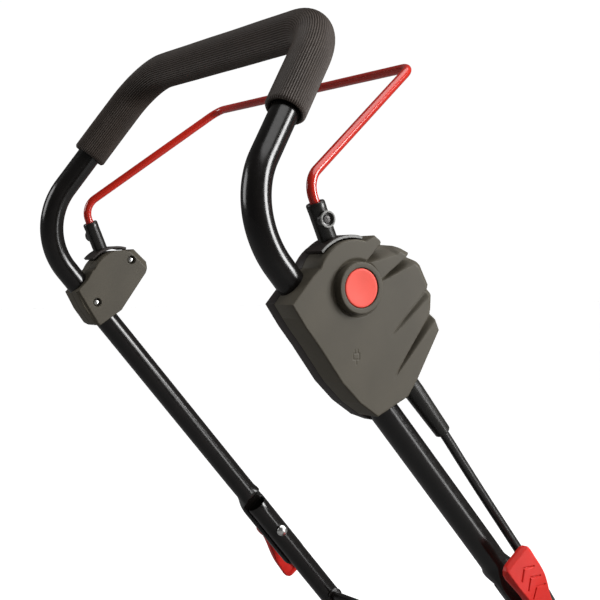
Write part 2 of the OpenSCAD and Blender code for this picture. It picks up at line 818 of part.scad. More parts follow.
module hood() {
    skin = 3;
    color(red_plastic) at_deck() both_sides() for (p = hood_screw_at)
        x_rod(p[0], p[1], plate_in - 7.5, plate_in - 0.3, 4.8, 1.9);
    color(red_plastic) at_deck() difference() {
        side_slab(-plate_in + 0.3, plate_in - 0.3) difference() {
            hood_profile();
            hood_profile(-skin);
            translate([-300, -100]) square([600, 232]);
            polygon([[-130, 100], [-130, 60], [200, 60], [200, 150], [119, 150], [30, 120], [-60, 130]]);
        }
        translate(gland_end - 20 * gland_dir) along([0, 0, 0], gland_dir) cylinder(r = 8.1, h = 60);
        for (s = [-1, 1]) for (p = tie_at) x_rod(p[0], p[1], s * plate_in - 8, s * plate_in + 8, 6.8);
        for (x = [-60:14:80]) translate([x, -140, 205]) cube([6, 20, 26]);
        for (s = [-1, 1]) for (p = hood_screw_at) x_rod(p[0], p[1], s * plate_in - 8, s * plate_in + 8, 1.9);
    }
}

module deck_screws() {
    color(steel) at_deck() {
        both_sides() for (p = hood_screw_at) {
            x_rod(p[0], p[1], plate_in - 6, plate_in + plate_t, 1.9);
            x_rod(p[0], p[1], plate_in + plate_t, plate_in + plate_t + 2.4, 4);
        }
        for (x = [-150:60:150]) translate([x, -5, 30]) {
            cylinder(r = 4.6, h = 2.9);
            cylinder(r = 2.5, h = 10.5);
        }
    }
}

module motor_case() {
    color([0.2, 0.2, 0.2]) at_deck() {
        x_rod(motor_axis[0], motor_axis[1], -130, 30, motor_r, motor_r - 2.5);
        x_rod(motor_axis[0], motor_axis[1], -134, -130, motor_r, 11.05);
        x_rod(motor_axis[0], motor_axis[1], 30, 34, motor_r, 11.05);
        for (a = [0:30:330]) translate([0, motor_axis[0], motor_axis[1]]) rotate([a, 0, 0])
            translate([-98, -1, motor_r - 1]) cube([96, 2, 3.5]);
    }
}

// Straps that hold the motor to the side plates through two cross bars
module motor_clamps() {
    color([0.1, 0.1, 0.1]) at_deck() {
        for (x = [-120, 4]) side_slab(x, x + 16) difference() {
            union() {
                translate(motor_axis) circle(motor_r + 3.2);
                polygon([[-112, 142], [-40, 142], [-36, 150], [-52, 170], [-96, 170], [-116, 150]]);
            }
            translate(motor_axis) circle(motor_r + 0.05);
        }
        side_slab(guard_face, plate_in - 0.1) translate([-87, 136]) square([44, 6]);
    }
}

guard_face = -172;

module belt_guard() {
    color(black_plastic) at_deck() {
        side_slab(guard_face - 3, guard_face) difference() {
            union() {
                bar2d(reel_axis, motor_axis, 36);
                translate(reel_axis) circle(40);
            }
            translate(reel_axis) circle(12);
            translate(motor_axis) circle(9);
        }
        for (a = [51, 141, 231]) {
            p = motor_axis + 27 * [cos(a), sin(a)];
            x_rod(p[0], p[1], -plate_in + 0.1, guard_face - 1, 5);
        }
    }
}

// Belt loop round the two pulleys
module belt_shape(grow) {
    hull() {
        translate(reel_axis) circle(reel_pulley_r + grow);
        translate(motor_axis) circle(motor_pulley_r + grow);
    }
}

module drive_belt() {
    color([0.05, 0.05, 0.05]) at_deck() side_slab(pulley_x - belt_w / 2, pulley_x + belt_w / 2) difference() {
        belt_shape(2.4);
        belt_shape(0.35);
    }
}

module flanged_pulley(p, r, bore) {
    x_rod(p[0], p[1], pulley_x - 5, pulley_x + 5, r, bore);
    x_rod(p[0], p[1], pulley_x + 5, pulley_x + 6.4, r + 3, bore);
}

module reel_pulley() { color([0.16, 0.16, 0.16]) at_deck() flanged_pulley(reel_axis, reel_pulley_r, 8); }
module motor_pulley() { color(steel) at_deck() flanged_pulley(motor_axis, motor_pulley_r, 5); }

module motor_rotor() {
    color([0.6, 0.35, 0.18]) at_deck() {
        x_rod(motor_axis[0], motor_axis[1], -189, 44, 5);
        x_rod(motor_axis[0], motor_axis[1], -95, -10, 24);
        x_rod(motor_axis[0], motor_axis[1], 0, 18, 13);
    }
}

module reel_shaft() { color(steel) at_deck() x_rod(reel_axis[0], reel_axis[1], -197, 197, 8); }

module spider() {
    circle(16);
    for (k = [0:blade_count - 1]) rotate(360 * k / blade_count)
        translate([0, -5]) square([reel_r - blade_h + 3, 10]);
}

spider_x = [-166, -82, 2, 86, 174];

module reel_spiders() {
    span = reel_end_right - reel_end_left;
    color([0.12, 0.12, 0.12]) at_deck() for (x = spider_x)
        side_slab(x, x + 3) translate(reel_axis)
            rotate(blade_twist * (x - reel_end_left) / span) difference() {
                spider();
                circle(8);
            }
}

blade_t = 2.8;
blade_steps = 26;

// Corners of one blade section at fraction f of the reel's length
function blade_section(f) = [
    for (c = [[reel_r - blade_h, -blade_t / 2], [reel_r - 0.1, -blade_t / 2],
              [reel_r - 0.1, blade_t / 2], [reel_r - blade_h, blade_t / 2]])
        let (a = blade_twist * f) [
            reel_end_left + (reel_end_right - reel_end_left) * f,
            reel_axis[0] + c[0] * cos(a) - c[1] * sin(a),
            reel_axis[1] + c[0] * sin(a) + c[1] * cos(a)
        ]
];

module blade() {
    points = [for (i = [0:blade_steps]) each blade_section(i / blade_steps)];
    sides = [for (i = [0:blade_steps - 1]) for (k = [0:3]) each [
        [4 * i + k, 4 * i + (k + 1) % 4, 4 * i + 4 + k],
        [4 * i + (k + 1) % 4, 4 * i + 4 + (k + 1) % 4, 4 * i + 4 + k]
    ]];
    n = 4 * blade_steps;
    polyhedron(points, concat([[3, 2, 1, 0]], sides, [[n, n + 1, n + 2, n + 3]]), convexity = 8);
}

module reel_blades() {
    color(steel) at_deck() for (k = [0:blade_count - 1])
        translate([0, reel_axis[0], reel_axis[1]]) rotate([360 * k / blade_count, 0, 0])
            translate([0, -reel_axis[0], -reel_axis[1]]) blade();
}

module cable_gland() {
    color(black_plastic) at_deck() translate(gland_end) along([0, 0, 0], gland_dir) difference() {
        union() {
            cylinder(r1 = 5.6, r2 = 7.5, h = 16);
            translate([0, 0, 16]) cylinder(r = 8, h = 12);
        }
        translate([0, 0, -1]) cylinder(r = cable_d / 2 + 0.05, h = 40);
    }
}

// ---- Wheels ----

lugs = 30;

module wheel_slab(x0, x1) { side_slab(wheel_in + x0, wheel_in + x1) translate(axle) children(); }

module lug() { translate([wheel_r - 8, -6]) square([8, 12]); }

module tyre() {
    rim_r = wheel_r - 21;
    wheel_slab(3, wheel_w - 3) difference() {
        circle(wheel_r - 5);
        circle(rim_r);
    }
    wheel_slab(0, wheel_w) difference() {
        circle(wheel_r - 9);
        circle(rim_r);
    }
    for (k = [0:lugs - 1]) {
        wheel_slab(2, wheel_w / 2 + 2) rotate(360 * k / lugs) lug();
        wheel_slab(wheel_w / 2 - 2, wheel_w - 2) rotate(360 * (k + 0.5) / lugs) lug();
    }
}

module rim() {
    rim_r = wheel_r - 21;
    wheel_slab(2, wheel_w - 2) difference() {
        circle(rim_r);
        circle(rim_r - 5);
    }
    wheel_slab(wheel_w / 2 - 3, wheel_w / 2 + 3) difference() {
        circle(rim_r - 4);
        circle(20);
        for (k = [0:4]) rotate(72 * k + 36) bar2d([52, 0], [78, 0], 14);
    }
    for (k = [0:4]) wheel_slab(8, wheel_w - 8) rotate(72 * k) translate([20, -3]) square([rim_r - 22, 6]);
    wheel_slab(-1, wheel_w) difference() {
        circle(22);
        circle(8.06);
    }
}

module hub_cap() {
    wheel_slab(wheel_w + 0.1, wheel_w + 3) difference() {
        circle(22);
        circle(12);
    }
    wheel_slab(wheel_w + 3, wheel_w + 6) circle(21);
    wheel_slab(wheel_w + 6, wheel_w + 7.5) circle(16);
}

module tyre_right() { color([0.06, 0.06, 0.06]) at_deck() tyre(); }
module tyre_left() { color([0.06, 0.06, 0.06]) at_deck() mirror([1, 0, 0]) tyre(); }
module rim_right() { color(black_plastic) at_deck() rim(); }
module rim_left() { color(black_plastic) at_deck() mirror([1, 0, 0]) rim(); }
module hub_cap_right() { color(red_plastic) at_deck() hub_cap(); }
module hub_cap_left() { color(red_plastic) at_deck() mirror([1, 0, 0]) hub_cap(); }

// ---- Rear roller and height adjustment ----

module carrier_arm() {
    side_slab(plate_in - 7, plate_in - 1) difference() {
        bar2d(carrier_axis, roller_axis, 13);
        translate(carrier_axis) circle(6.05);
        translate(roller_axis) circle(5.05);
    }
}

module roller_carrier() {
    color(black_paint) at_deck() {
        both_sides() carrier_arm();
        x_rod(-128, 56, -plate_in + 6, plate_in - 6, 5);
    }
}

module height_lever() {
    color(red_plastic) at_deck() {
        side_slab(plate_in + plate_t + 0.4, plate_in + plate_t + 5) difference() {
            bar2d(carrier_axis, [-172, 108], 8);
            translate(carrier_axis) circle(6.05);
        }
        x_rod(-172, 108, plate_in + plate_t + 5, plate_in + plate_t + 26, 8);
    }
}

module roller_pins() {
    color(steel) at_deck() {
        both_sides() x_rod(carrier_axis[0], carrier_axis[1], plate_in - 12, plate_in + plate_t + 6, 6);
        x_rod(roller_axis[0], roller_axis[1], -plate_in + 1, plate_in - 1, 5);
    }
}

module rear_roller() {
    color([0.12, 0.12, 0.12]) at_deck() difference() {
        x_rod(roller_axis[0], roller_axis[1], -plate_in + 9, plate_in - 9, roller_d / 2, 5.08);
        for (x = [-160:40:160]) side_slab(x - 1.5, x + 1.5) translate(roller_axis) difference() {
            circle(roller_d);
            circle(roller_d / 2 - 1.5);
        }
    }
}

upper_tube();
flat_ends();
grip_foam();
joint_bolts();
switch_box_outer();
switch_box_inner();
button_ring();
microswitch();
mains_inlet();
cable_boot();
cable_upper();
bracket_inner_cover();
bracket_outer_cover();
housing_screws();
bail_wire();
bail_hub_right();
bail_hub_left();
bail_screws();
lock_button();
button_spring();
cam_lever_right();
cam_lever_left();
lower_tube_right();
lower_tube_left();
tube_plugs();
cross_brace();
cable_lower();
cable_clips();
side_plate_right();
side_plate_left();
handle_pivot_bolts();
tie_rods();
bed_bar();
bed_knife();
axle_stubs();
bearings();
hood();
deck_screws();
motor_case();
motor_clamps();
belt_guard();
drive_belt();
cable_gland();
cable_deck();
reel_shaft();
reel_spiders();
reel_blades();
reel_pulley();
motor_rotor();
motor_pulley();
tyre_right();
rim_right();
hub_cap_right();
tyre_left();
rim_left();
hub_cap_left();
roller_carrier();
height_lever();
roller_pins();
rear_roller();
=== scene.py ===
"""Looks of a corded electric reel mower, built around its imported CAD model.

Lengths of the handle are in millimetres in the bend frame, as in the CAD: its origin lies midway between
the two lower bends of the handle tube. place() turns them into metres in the row frame.
"""

import json
import math

import bmesh
import bpy
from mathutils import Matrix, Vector

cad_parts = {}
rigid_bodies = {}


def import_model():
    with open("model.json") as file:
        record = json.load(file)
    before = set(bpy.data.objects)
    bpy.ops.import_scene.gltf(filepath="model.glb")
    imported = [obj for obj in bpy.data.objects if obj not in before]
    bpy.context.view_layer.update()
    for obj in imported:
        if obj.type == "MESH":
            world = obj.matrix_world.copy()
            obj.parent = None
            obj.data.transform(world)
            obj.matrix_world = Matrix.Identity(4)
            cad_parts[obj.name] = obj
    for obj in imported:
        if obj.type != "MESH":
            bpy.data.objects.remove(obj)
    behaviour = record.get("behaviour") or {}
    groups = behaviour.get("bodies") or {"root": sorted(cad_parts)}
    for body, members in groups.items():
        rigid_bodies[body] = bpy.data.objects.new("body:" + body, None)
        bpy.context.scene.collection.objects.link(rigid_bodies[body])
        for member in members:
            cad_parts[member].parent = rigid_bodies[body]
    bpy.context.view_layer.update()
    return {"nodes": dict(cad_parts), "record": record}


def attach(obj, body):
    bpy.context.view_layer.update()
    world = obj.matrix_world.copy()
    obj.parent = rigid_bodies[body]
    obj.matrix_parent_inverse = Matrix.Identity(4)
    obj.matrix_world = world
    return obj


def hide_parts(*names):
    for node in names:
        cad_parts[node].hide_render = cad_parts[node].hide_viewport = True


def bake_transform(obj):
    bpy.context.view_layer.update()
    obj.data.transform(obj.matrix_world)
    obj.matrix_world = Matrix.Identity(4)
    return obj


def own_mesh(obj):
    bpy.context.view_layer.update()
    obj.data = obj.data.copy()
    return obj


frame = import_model()

# ---- Driving values, in millimetres and degrees ----

JOINTS = {j["name"]: j for j in frame["record"]["behaviour"]["joints"]}
ANGLE = math.radians(49.3)
DOWN = Vector((0, math.cos(ANGLE), -math.sin(ANGLE)))  # along the straight tubes, to the ground
OUT = Vector((0, math.sin(ANGLE), math.cos(ANGLE)))  # square to the tubes, forward and up
X_AXIS = Vector((1, 0, 0))
BOLT_S = 471  # fold bolt, from the bend along the tube
ORIGIN = Vector(JOINTS["handle_fold"]["pos_m"]) * 1000 - BOLT_S * DOWN

TUBE_R = 12.5
SIDE_X = 222  # centre of each side tube
GRIP_R = 18.25
CORNER = Vector((174, 114, 169))  # corner of the loop at the grip, before its rounding
FLAT_START, FLAT_FULL, FLAT_END = 381, 424, 530  # pressed end of the upper tube, along it
TAB_IN, TAB_OUT, TAB_HALF = 5, 11, 15.5  # its inner and outer face, from the tube's centre, and half width
LOWER_START, LOWER_ROUND, LOWER_END = 427, 540, 877  # lower tube: top, end of its flat side, end
LEVER_PIN = 21  # barrel pin of a lever, outwards from the tube's centre

BAIL = Vector((228, 96, -58))  # pivot of the bail
BAIL_R = 4.25
SLEEVE_ANGLE = math.radians(113)  # direction of the bail's sleeve, seen from the side
SLEEVE_DIR = Vector((0, math.cos(SLEEVE_ANGLE), math.sin(SLEEVE_ANGLE)))
BOSS_AT = 58  # screw boss of a bail hub, from the pivot along the sleeve
DOME_R = 37.5  # round end of the switch box and bracket, about the bail's pivot
BUTTON = (97, -60)
BUTTON_R, RING_R = 16, 21.3
BOX_IN, BOX_SPLIT, BOX_OUT = 205, 218, 246
BRACKET_IN, BRACKET_SPLIT, BRACKET_OUT = 204, 221, 240
CABLE_R = 4.25
DECK_SHIFT = 271  # origin of the cutting unit's own lengths, along Y of the row frame


def place(v):
    """A point of the bend frame, in metres in the row frame."""
    return (ORIGIN + Vector(v)) * 0.001


def on_tube(s, n=0.0, x=SIDE_X):
    """A point s from the bend along a side tube and n off it, square to the tubes."""
    return X_AXIS * x + DOWN * s + OUT * n


def flip(v):
    """The same point on the left side."""
    return Vector((-v[0], v[1], v[2]))


def step(a, b, x):
    """Smooth step from 0 at a to 1 at b."""
    t = min(1.0, max(0.0, (x - a) / (b - a)))
    return t * t * (3 - 2 * t)


# ---- Materials ----

def node_link(tree, a, out, b, into):
    tree.links.new(a.outputs[out], b.inputs[into])


NOISE_SPAN = (0.3, 0.7)  # nearly all of a noise texture's values
COAT_ROUGHNESS = 0.06


def noise_node(tree, source, output, pitch, detail):
    """Noise of the given pitch in millimetres, placed by an output of source."""
    noise = tree.nodes.new("ShaderNodeTexNoise")
    noise.inputs["Scale"].default_value = 1000 / pitch
    noise.inputs["Detail"].default_value = detail
    node_link(tree, source, output, noise, "Vector")
    return noise


def vary_colour(tree, noise, shader, colour, tint):
    ramp = tree.nodes.new("ShaderNodeValToRGB")
    for element, position, change in zip(ramp.color_ramp.elements, NOISE_SPAN, (-tint, tint)):
        element.position = position
        element.color = [min(1, c * (1 + change)) for c in colour] + [1]
    node_link(tree, noise, "Fac", ramp, "Fac")
    node_link(tree, ramp, "Color", shader, "Base Color")


def vary_roughness(tree, noise, shader, rough, change):
    spread = tree.nodes.new("ShaderNodeMapRange")
    spread.inputs["From Min"].default_value, spread.inputs["From Max"].default_value = NOISE_SPAN
    spread.inputs["To Min"].default_value = max(0.03, rough - change)
    spread.inputs["To Max"].default_value = min(1, rough + change)
    node_link(tree, noise, "Fac", spread, "Value")
    node_link(tree, spread, "Result", shader, "Roughness")


def add_bump(tree, noise, shader, depth):
    bump = tree.nodes.new("ShaderNodeBump")
    bump.inputs["Strength"].default_value = 1
    bump.inputs["Distance"].default_value = depth * 0.001
    node_link(tree, noise, "Fac", bump, "Height")
    node_link(tree, bump, "Normal", shader, "Normal")


def surface(name, colour, rough, metallic=0.0, tint=0.25, patch=12.0, grain=0.0, grain_size=0.6,
            rough_var=0.08, coat=0.0, shine=0.5, streak=None):
    """A moulded, painted or metal surface.

    tint is how far the colour varies in patches of patch millimetres. grain is the depth of the fine texture
    and grain_size its pitch, in millimetres. shine is the specular level. streak stretches the fine texture.
    """
    mat = bpy.data.materials.new(name)
    mat.use_nodes = True
    tree = mat.node_tree
    shader = tree.nodes["Principled BSDF"]
    shader.inputs["Metallic"].default_value = metallic
    shader.inputs["Coat Weight"].default_value = coat
    shader.inputs["Specular IOR Level"].default_value = shine
    shader.inputs["Coat Roughness"].default_value = COAT_ROUGHNESS
    where = tree.nodes.new("ShaderNodeTexCoord")
    patches = noise_node(tree, where, "Object", patch, 6)
    vary_colour(tree, patches, shader, colour, tint)
    if streak:
        stretch = tree.nodes.new("ShaderNodeMapping")
        stretch.inputs["Scale"].default_value = streak
        node_link(tree, where, "Object", stretch, "Vector")
        fine = noise_node(tree, stretch, "Vector", grain_size, 3)
    else:
        fine = noise_node(tree, where, "Object", grain_size, 3)
    vary_roughness(tree, fine if grain else patches, shader, rough, rough_var)
    if grain:
        add_bump(tree, fine, shader, grain)
    return mat


MATERIALS = {
    "black_paint": surface("gloss_black_paint", (0.006, 0.005, 0.0045), 0.2, tint=0.3, patch=30, grain=0.003,
                           grain_size=4, rough_var=0.04, shine=0.42),
    "foam": surface("foam_rubber", (0.043, 0.031, 0.024), 0.6, tint=0.14, patch=30, grain=0.006,
                    grain_size=1.5, rough_var=0.05, shine=0.4),
    "dark_plastic": surface("grained_plastic", (0.069, 0.060, 0.043), 0.56, tint=0.1, patch=40, grain=0.03,
                            grain_size=0.5, shine=0.3),
    # The grained plastic darkened as painted shade, on the switch box's inner shell, the bail hubs' shields
    # and the parts listed for it below.
    "painted_shade_plastic": surface("brown_black_plastic", (0.020, 0.014, 0.012), 0.48, tint=0.15, patch=30,
                              grain=0.025, grain_size=0.5, shine=0.3),
    "gloss_plastic": surface("satin_black_plastic", (0.012, 0.011, 0.009), 0.3, tint=0.2, patch=20,
                             grain=0.003, grain_size=2, rough_var=0.05, shine=0.45),
    # The gloss black plastic painted grey as a highlight, on the rims of the hub bosses and the lips of the
    # shields.
    "grey_rim": surface("worn_grey_rim", (0.20, 0.20, 0.19), 0.35, tint=0.25, patch=4, grain=0.01,
                        grain_size=0.6, shine=0.5),
    "steel": surface("zinc_plated_steel", (0.72, 0.72, 0.70), 0.24, metallic=1, tint=0.1, patch=4,
                     grain=0.002, grain_size=1.5, rough_var=0.05),
    "blade_steel": surface("ground_steel", (0.50, 0.51, 0.52), 0.3, metallic=1, tint=0.16, patch=14,
                           grain=0.02, grain_size=0.35, streak=(0.06, 1, 1)),
    "red_metal": surface("gloss_red_paint", (0.54, 0.018, 0.007), 0.22, tint=0.06, patch=60, grain=0.002,
                         grain_size=4, rough_var=0.03, coat=0.3),
    "red_plastic": surface("red_moulded_plastic", (0.60, 0.017, 0.011), 0.44, tint=0.07, patch=25, grain=0.02,
                           grain_size=0.5, shine=0.28),
    "coral_plastic": surface("coral_plastic", (0.82, 0.078, 0.052), 0.45, tint=0.05, patch=20, grain=0.012,
                             grain_size=0.6, shine=0.3),
    "cable_sheath": surface("cable_sheath", (0.012, 0.011, 0.010), 0.3, tint=0.25, patch=25, grain=0.003,
                            grain_size=2.5, rough_var=0.05),
    "tyre": surface("tyre_rubber", (0.021, 0.020, 0.019), 0.72, tint=0.3, patch=18, grain=0.06,
                    grain_size=0.7),
    "aluminium": surface("turned_aluminium", (0.62, 0.63, 0.65), 0.36, metallic=1, tint=0.08, patch=10,
                         grain=0.015, grain_size=0.4, streak=(1, 0.08, 0.08)),
    "copper": surface("copper_winding", (0.56, 0.21, 0.09), 0.35, metallic=1, tint=0.2, patch=3, grain=0.05,
                      grain_size=0.8, streak=(0.1, 1, 1)),
    # Steel painted near black as painted shade, for the screws that sit deep in the hub bosses.
    "dark_metal": surface("phosphated_steel", (0.065, 0.063, 0.062), 0.42, metallic=0.8, tint=0.2, patch=6,
                          grain=0.02, grain_size=0.4),
}
# Slots of the materials that have none of their own in the record
SLOT_OF = {"painted_shade_plastic": "dark_plastic", "grey_rim": "gloss_plastic"}


# ---- Mesh helpers ----

def finish_piece(name, bm, material, body, nodes=(), sharp=35.0):
    """Makes an object of bm, smooth up to the sharp angle.

    It rides on body and stands for the CAD nodes.
    """
    bmesh.ops.recalc_face_normals(bm, faces=bm.faces)
    mesh = bpy.data.meshes.new(name)
    bm.to_mesh(mesh)
    bm.free()
    mesh.polygons.foreach_set("use_smooth", [True] * len(mesh.polygons))
    mesh.set_sharp_from_angle(angle=math.radians(sharp))
    mesh.materials.append(MATERIALS[material])
    piece = bpy.data.objects.new(name, mesh)
    bpy.context.collection.objects.link(piece)
    if body:
        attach(piece, body)
    if nodes:
        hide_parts(*nodes)
    SLOT_OF.get(material, material)
    return piece


def join_rings(bm, grid, wrap=False):
    """Adds faces between neighbouring rings of vertices; wrap also joins the last ring to the first."""
    for a, b in zip(grid, grid[1:] + (grid[:1] if wrap else [])):
        for k in range(len(a)):
            after = (k + 1) % len(a)
            bm.faces.new((a[k], a[after], b[after], b[k]))


def add_rings(bm, rings, closed=True):
    """Adds the skin through rings of equally many points, closed at both ends or open at both."""
    grid = [[bm.verts.new(p) for p in ring] for ring in rings]
    join_rings(bm, grid)
    if closed:
        bm.faces.new(grid[0])
        bm.faces.new(grid[-1])


def rounded_line(points, radii, spacing=5.0):
    """Centre line through the points, with an arc of its radius at each inner point."""
    points = [Vector(p) for p in points]
    line = [points[0]]
    for i, radius in enumerate(radii, 1):
        into = (points[i] - points[i - 1]).normalized()
        away = (points[i + 1] - points[i]).normalized()
        turn = into.angle(away)
        inward = (away - into * into.dot(away)).normalized()
        start = points[i] - into * radius * math.tan(turn / 2)
        steps = max(4, math.ceil(turn * radius / 2.5))
        for k in range(steps + 1):
            a = turn * k / steps
            line.append(start + inward * radius * (1 - math.cos(a)) + into * radius * math.sin(a))
    line.append(points[-1])
    dense = [line[0]]
    for a, b in zip(line, line[1:]):
        count = max(1, math.ceil((b - a).length / spacing))
        dense += [a.lerp(b, k / count) for k in range(1, count + 1)]
    return dense


def sweep(line, section):
    """Rings along line that never twist; section(length) gives (side, across) pairs in millimetres."""
    rings = []
    side = X_AXIS
    length = 0.0
    for i, p in enumerate(line):
        if i:
            length += (p - line[i - 1]).length
        tangent = (line[min(i + 1, len(line) - 1)] - line[max(i - 1, 0)]).normalized()
        side = (side - tangent * side.dot(tangent)).normalized()
        across = tangent.cross(side)
        rings.append([p + side * a + across * b for a, b in section(length)])
    return rings


def add_tube(bm, line, section, closed=True):
    add_rings(bm, [[place(p) for p in ring] for ring in sweep(line, section)], closed)


def circle(radius, sides=40):
    return [(radius * math.cos(2 * math.pi * k / sides), radius * math.sin(2 * math.pi * k / sides))
            for k in range(sides)]


def add_lathe(bm, profile, origin, axis, side, segments=64):
    """Turns a closed profile of (radius, height) about axis through origin, in bend-frame millimetres."""
    axis = Vector(axis).normalized()
    side = Vector(side).normalized()
    across = axis.cross(side)
    rings = []
    for k in range(segments):
        a = 2 * math.pi * k / segments
        out = side * math.cos(a) + across * math.sin(a)
        rings.append([place(Vector(origin) + out * r + axis * h) for r, h in profile])
    grid = [[bm.verts.new(p) for p in ring] for ring in rings]
    join_rings(bm, grid, wrap=True)
    bmesh.ops.remove_doubles(bm, verts=[v for ring in grid for v in ring], dist=1e-6)


def circle_point(centre, radius, degrees):
    a = math.radians(degrees)
    return (centre[0] + radius * math.cos(a), centre[1] + radius * math.sin(a))


def arc_points(centre, radius, start, end, steps=6):
    """Points of an arc, angles in degrees."""
    return [circle_point(centre, radius, start + (end - start) * k / steps) for k in range(steps + 1)]


def star_outline(shape, centre, discs=(), count=360):
    """Outline of a polygon joined with discs.

    It is given as (direction, radius) pairs about a centre that sees all of it.
    """
    centre = Vector(centre)
    corners = [Vector(p) - centre for p in shape]
    angles = {round(math.atan2(p.y, p.x), 5) for p in corners}
    angles |= {round(-math.pi + 2 * math.pi * k / count, 5) for k in range(count)}
    outline = []
    for a in sorted(angles):
        ray = Vector((math.cos(a), math.sin(a)))
        reach = 0.0
        for p, q in zip(corners, corners[1:] + corners[:1]):
            edge = q - p
            det = ray.x * edge.y - ray.y * edge.x
            if abs(det) < 1e-9:
                continue
            t = (p.x * edge.y - p.y * edge.x) / det
            u = (p.x * ray.y - p.y * ray.x) / det
            if t > 0 and -1e-4 <= u <= 1.0001:
                reach = max(reach, t)
        for disc_centre, disc_r in discs:
            c = Vector(disc_centre) - centre
            along = c.dot(ray)
            rest = disc_r ** 2 - (c.length_squared - along ** 2)
            if rest > 0:
                reach = max(reach, along + math.sqrt(rest))
        if not outline or (ray - outline[-1][0]).length > 2e-4:
            outline.append((ray, reach))
    return outline


def add_relief(bm, outline, centre, top, base, to_world, rings=60, edge=1.0, base_edge=0.4, base_rings=3):
    """A solid over a star-shaped outline, whose top and base are height functions of (u, v).

    edge rounds the top's rim. to_world turns (u, v, height) into a point in metres.
    """
    centre = Vector(centre)

    def ring(inset, drop, height):
        points = []
        for ray, reach in outline:
            p = centre + ray * max(0.0, reach - inset)
            points.append(to_world(p.x, p.y, height(p.x, p.y) + drop))
        return points

    def inner_ring(share, start, height):
        points = []
        for ray, reach in outline:
            p = centre + ray * (reach - start) * share
            points.append(to_world(p.x, p.y, height(p.x, p.y)))
        return points

    skin = [inner_ring((k + 1) / base_rings, base_edge, base) for k in range(base_rings)]
    skin.append(ring(0, base_edge, base))
    skin.append(ring(0, -edge, top))
    for k in (1, 2, 3):
        a = math.radians(90 * k / 3)
        skin.append(ring(edge * (1 - math.cos(a)), -edge * (1 - math.sin(a)), top))
    skin += [inner_ring(1 - k / rings, edge, top) for k in range(1, rings)]
    grid = [[bm.verts.new(p) for p in points] for points in skin]
    join_rings(bm, grid)
    sides = len(outline)
    for rim, height in ((grid[0], base), (grid[-1], top)):
        hub = bm.verts.new(to_world(centre.x, centre.y, height(centre.x, centre.y)))
        for k in range(sides):
            bm.faces.new((rim[k], rim[(k + 1) % sides], hub))


def body_of(node):
    return frame["nodes"][node].parent.name.split(":", 1)[-1]


def refine(node, material, bevel=0.5, sharp=30.0):
    """Stands for a CAD node: its own shape, with joined faces and rounded edges."""
    bm = bmesh.new()
    bm.from_mesh(frame["nodes"][node].data)
    bmesh.ops.remove_doubles(bm, verts=bm.verts, dist=2e-6)
    bmesh.ops.dissolve_limit(bm, angle_limit=math.radians(0.6), verts=bm.verts, edges=bm.edges)
    bmesh.ops.recalc_face_normals(bm, faces=bm.faces)
    if bevel:
        hard = [e for e in bm.edges if len(e.link_faces) == 2
                and e.calc_face_angle(0) > math.radians(sharp) and e.calc_length() > bevel * 0.0024]
        bmesh.ops.bevel(bm, geom=hard, offset=bevel * 0.001, segments=2, profile=0.6, affect="EDGES",
                        clamp_overlap=True)
    return finish_piece(node + "_shape", bm, material, body_of(node), (node,), sharp)


# ---- Handle tubes ----

TUBE_SIDES = 56


def pressed_section(s):
    """Tube section at distance s: round above FLAT_START, pressed flat towards the outside by FLAT_FULL."""
    flat = step(FLAT_FULL - 22, FLAT_FULL + 8, s)
    inner = -TUBE_R + (TAB_IN + TUBE_R) * step(FLAT_FULL - 15, FLAT_FULL, s)
    outer = TUBE_R + (TAB_OUT - TUBE_R) * step(FLAT_START, FLAT_FULL, s)
    half_wide = TUBE_R + (TAB_HALF - TUBE_R) * flat
    power = 1 + 2.4 * step(FLAT_FULL - 20, FLAT_FULL, s)
    middle, half_thick = (inner + outer) / 2, (outer - inner) / 2
    return [(middle + half_thick * math.copysign(abs(c) ** (1 / power), c),
             half_wide * math.copysign(abs(v) ** (1 / power), v)) for c, v in circle(1, TUBE_SIDES)]


def upper_tube():
    half_line = rounded_line([on_tube(FLAT_END - TAB_HALF), Vector((SIDE_X, 0, 0)), CORNER,
                              Vector((0, CORNER.y, CORNER.z))], [74, 55], 3)
    rings = sweep(half_line, lambda length: pressed_section(FLAT_END - TAB_HALF - length))
    tip = rings[0]
    rounded_tip = []
    for k in range(8, 0, -1):
        a = math.radians(90 * k / 8.6)
        ring = [p.copy() for p in tip]
        for p in ring:
            n = (p - on_tube(FLAT_END - TAB_HALF)).dot(OUT)
            p -= OUT * n * (1 - math.cos(a))
            p += DOWN * TAB_HALF * math.sin(a)
        rounded_tip.append(ring)
    right = rounded_tip + rings
    left = [[flip(p) for p in ring] for ring in reversed(right[:-1])]
    bm = bmesh.new()
    add_rings(bm, [[place(p) for p in ring] for ring in right + left])
    return finish_piece("upper_handle_tube", bm, "black_paint", "upper_handle", ("upper_tube", "flat_ends"),
                        40)


def lower_tube(name, node, mirror):
    """Straight tube, open at the top, with a flat side where the upper handle's pressed end lies on it."""
    bm = bmesh.new()
    rings = []
    cut = TAB_IN - 0.5
    stations = [LOWER_START + 1] + list(range(440, LOWER_ROUND, 10))
    stations += [LOWER_ROUND + 3 * k for k in range(1, 7)] + list(range(570, LOWER_END, 20)) + [LOWER_END]
    mouth = [(LOWER_START + 24, 1.6), (LOWER_START + 0.4, 1.6), (LOWER_START, 1.2), (LOWER_START, 0.4)]
    for s, inset in mouth + [(s, 0) for s in stations]:
        limit = cut - inset + (TUBE_R - cut) * step(LOWER_ROUND - 4, LOWER_ROUND + 16, s)
        ring = []
        for a, b in circle(TUBE_R - inset, TUBE_SIDES):
            p = on_tube(s, b, SIDE_X + min(a, limit))
            ring.append(place(flip(p) if mirror else p))
        rings.append(ring)
    add_rings(bm, rings)
    return finish_piece(name, bm, "black_paint", "lower_handle", (node,), 40)


FOAM_RIBS, POINTS_PER_RIB = 52, 8


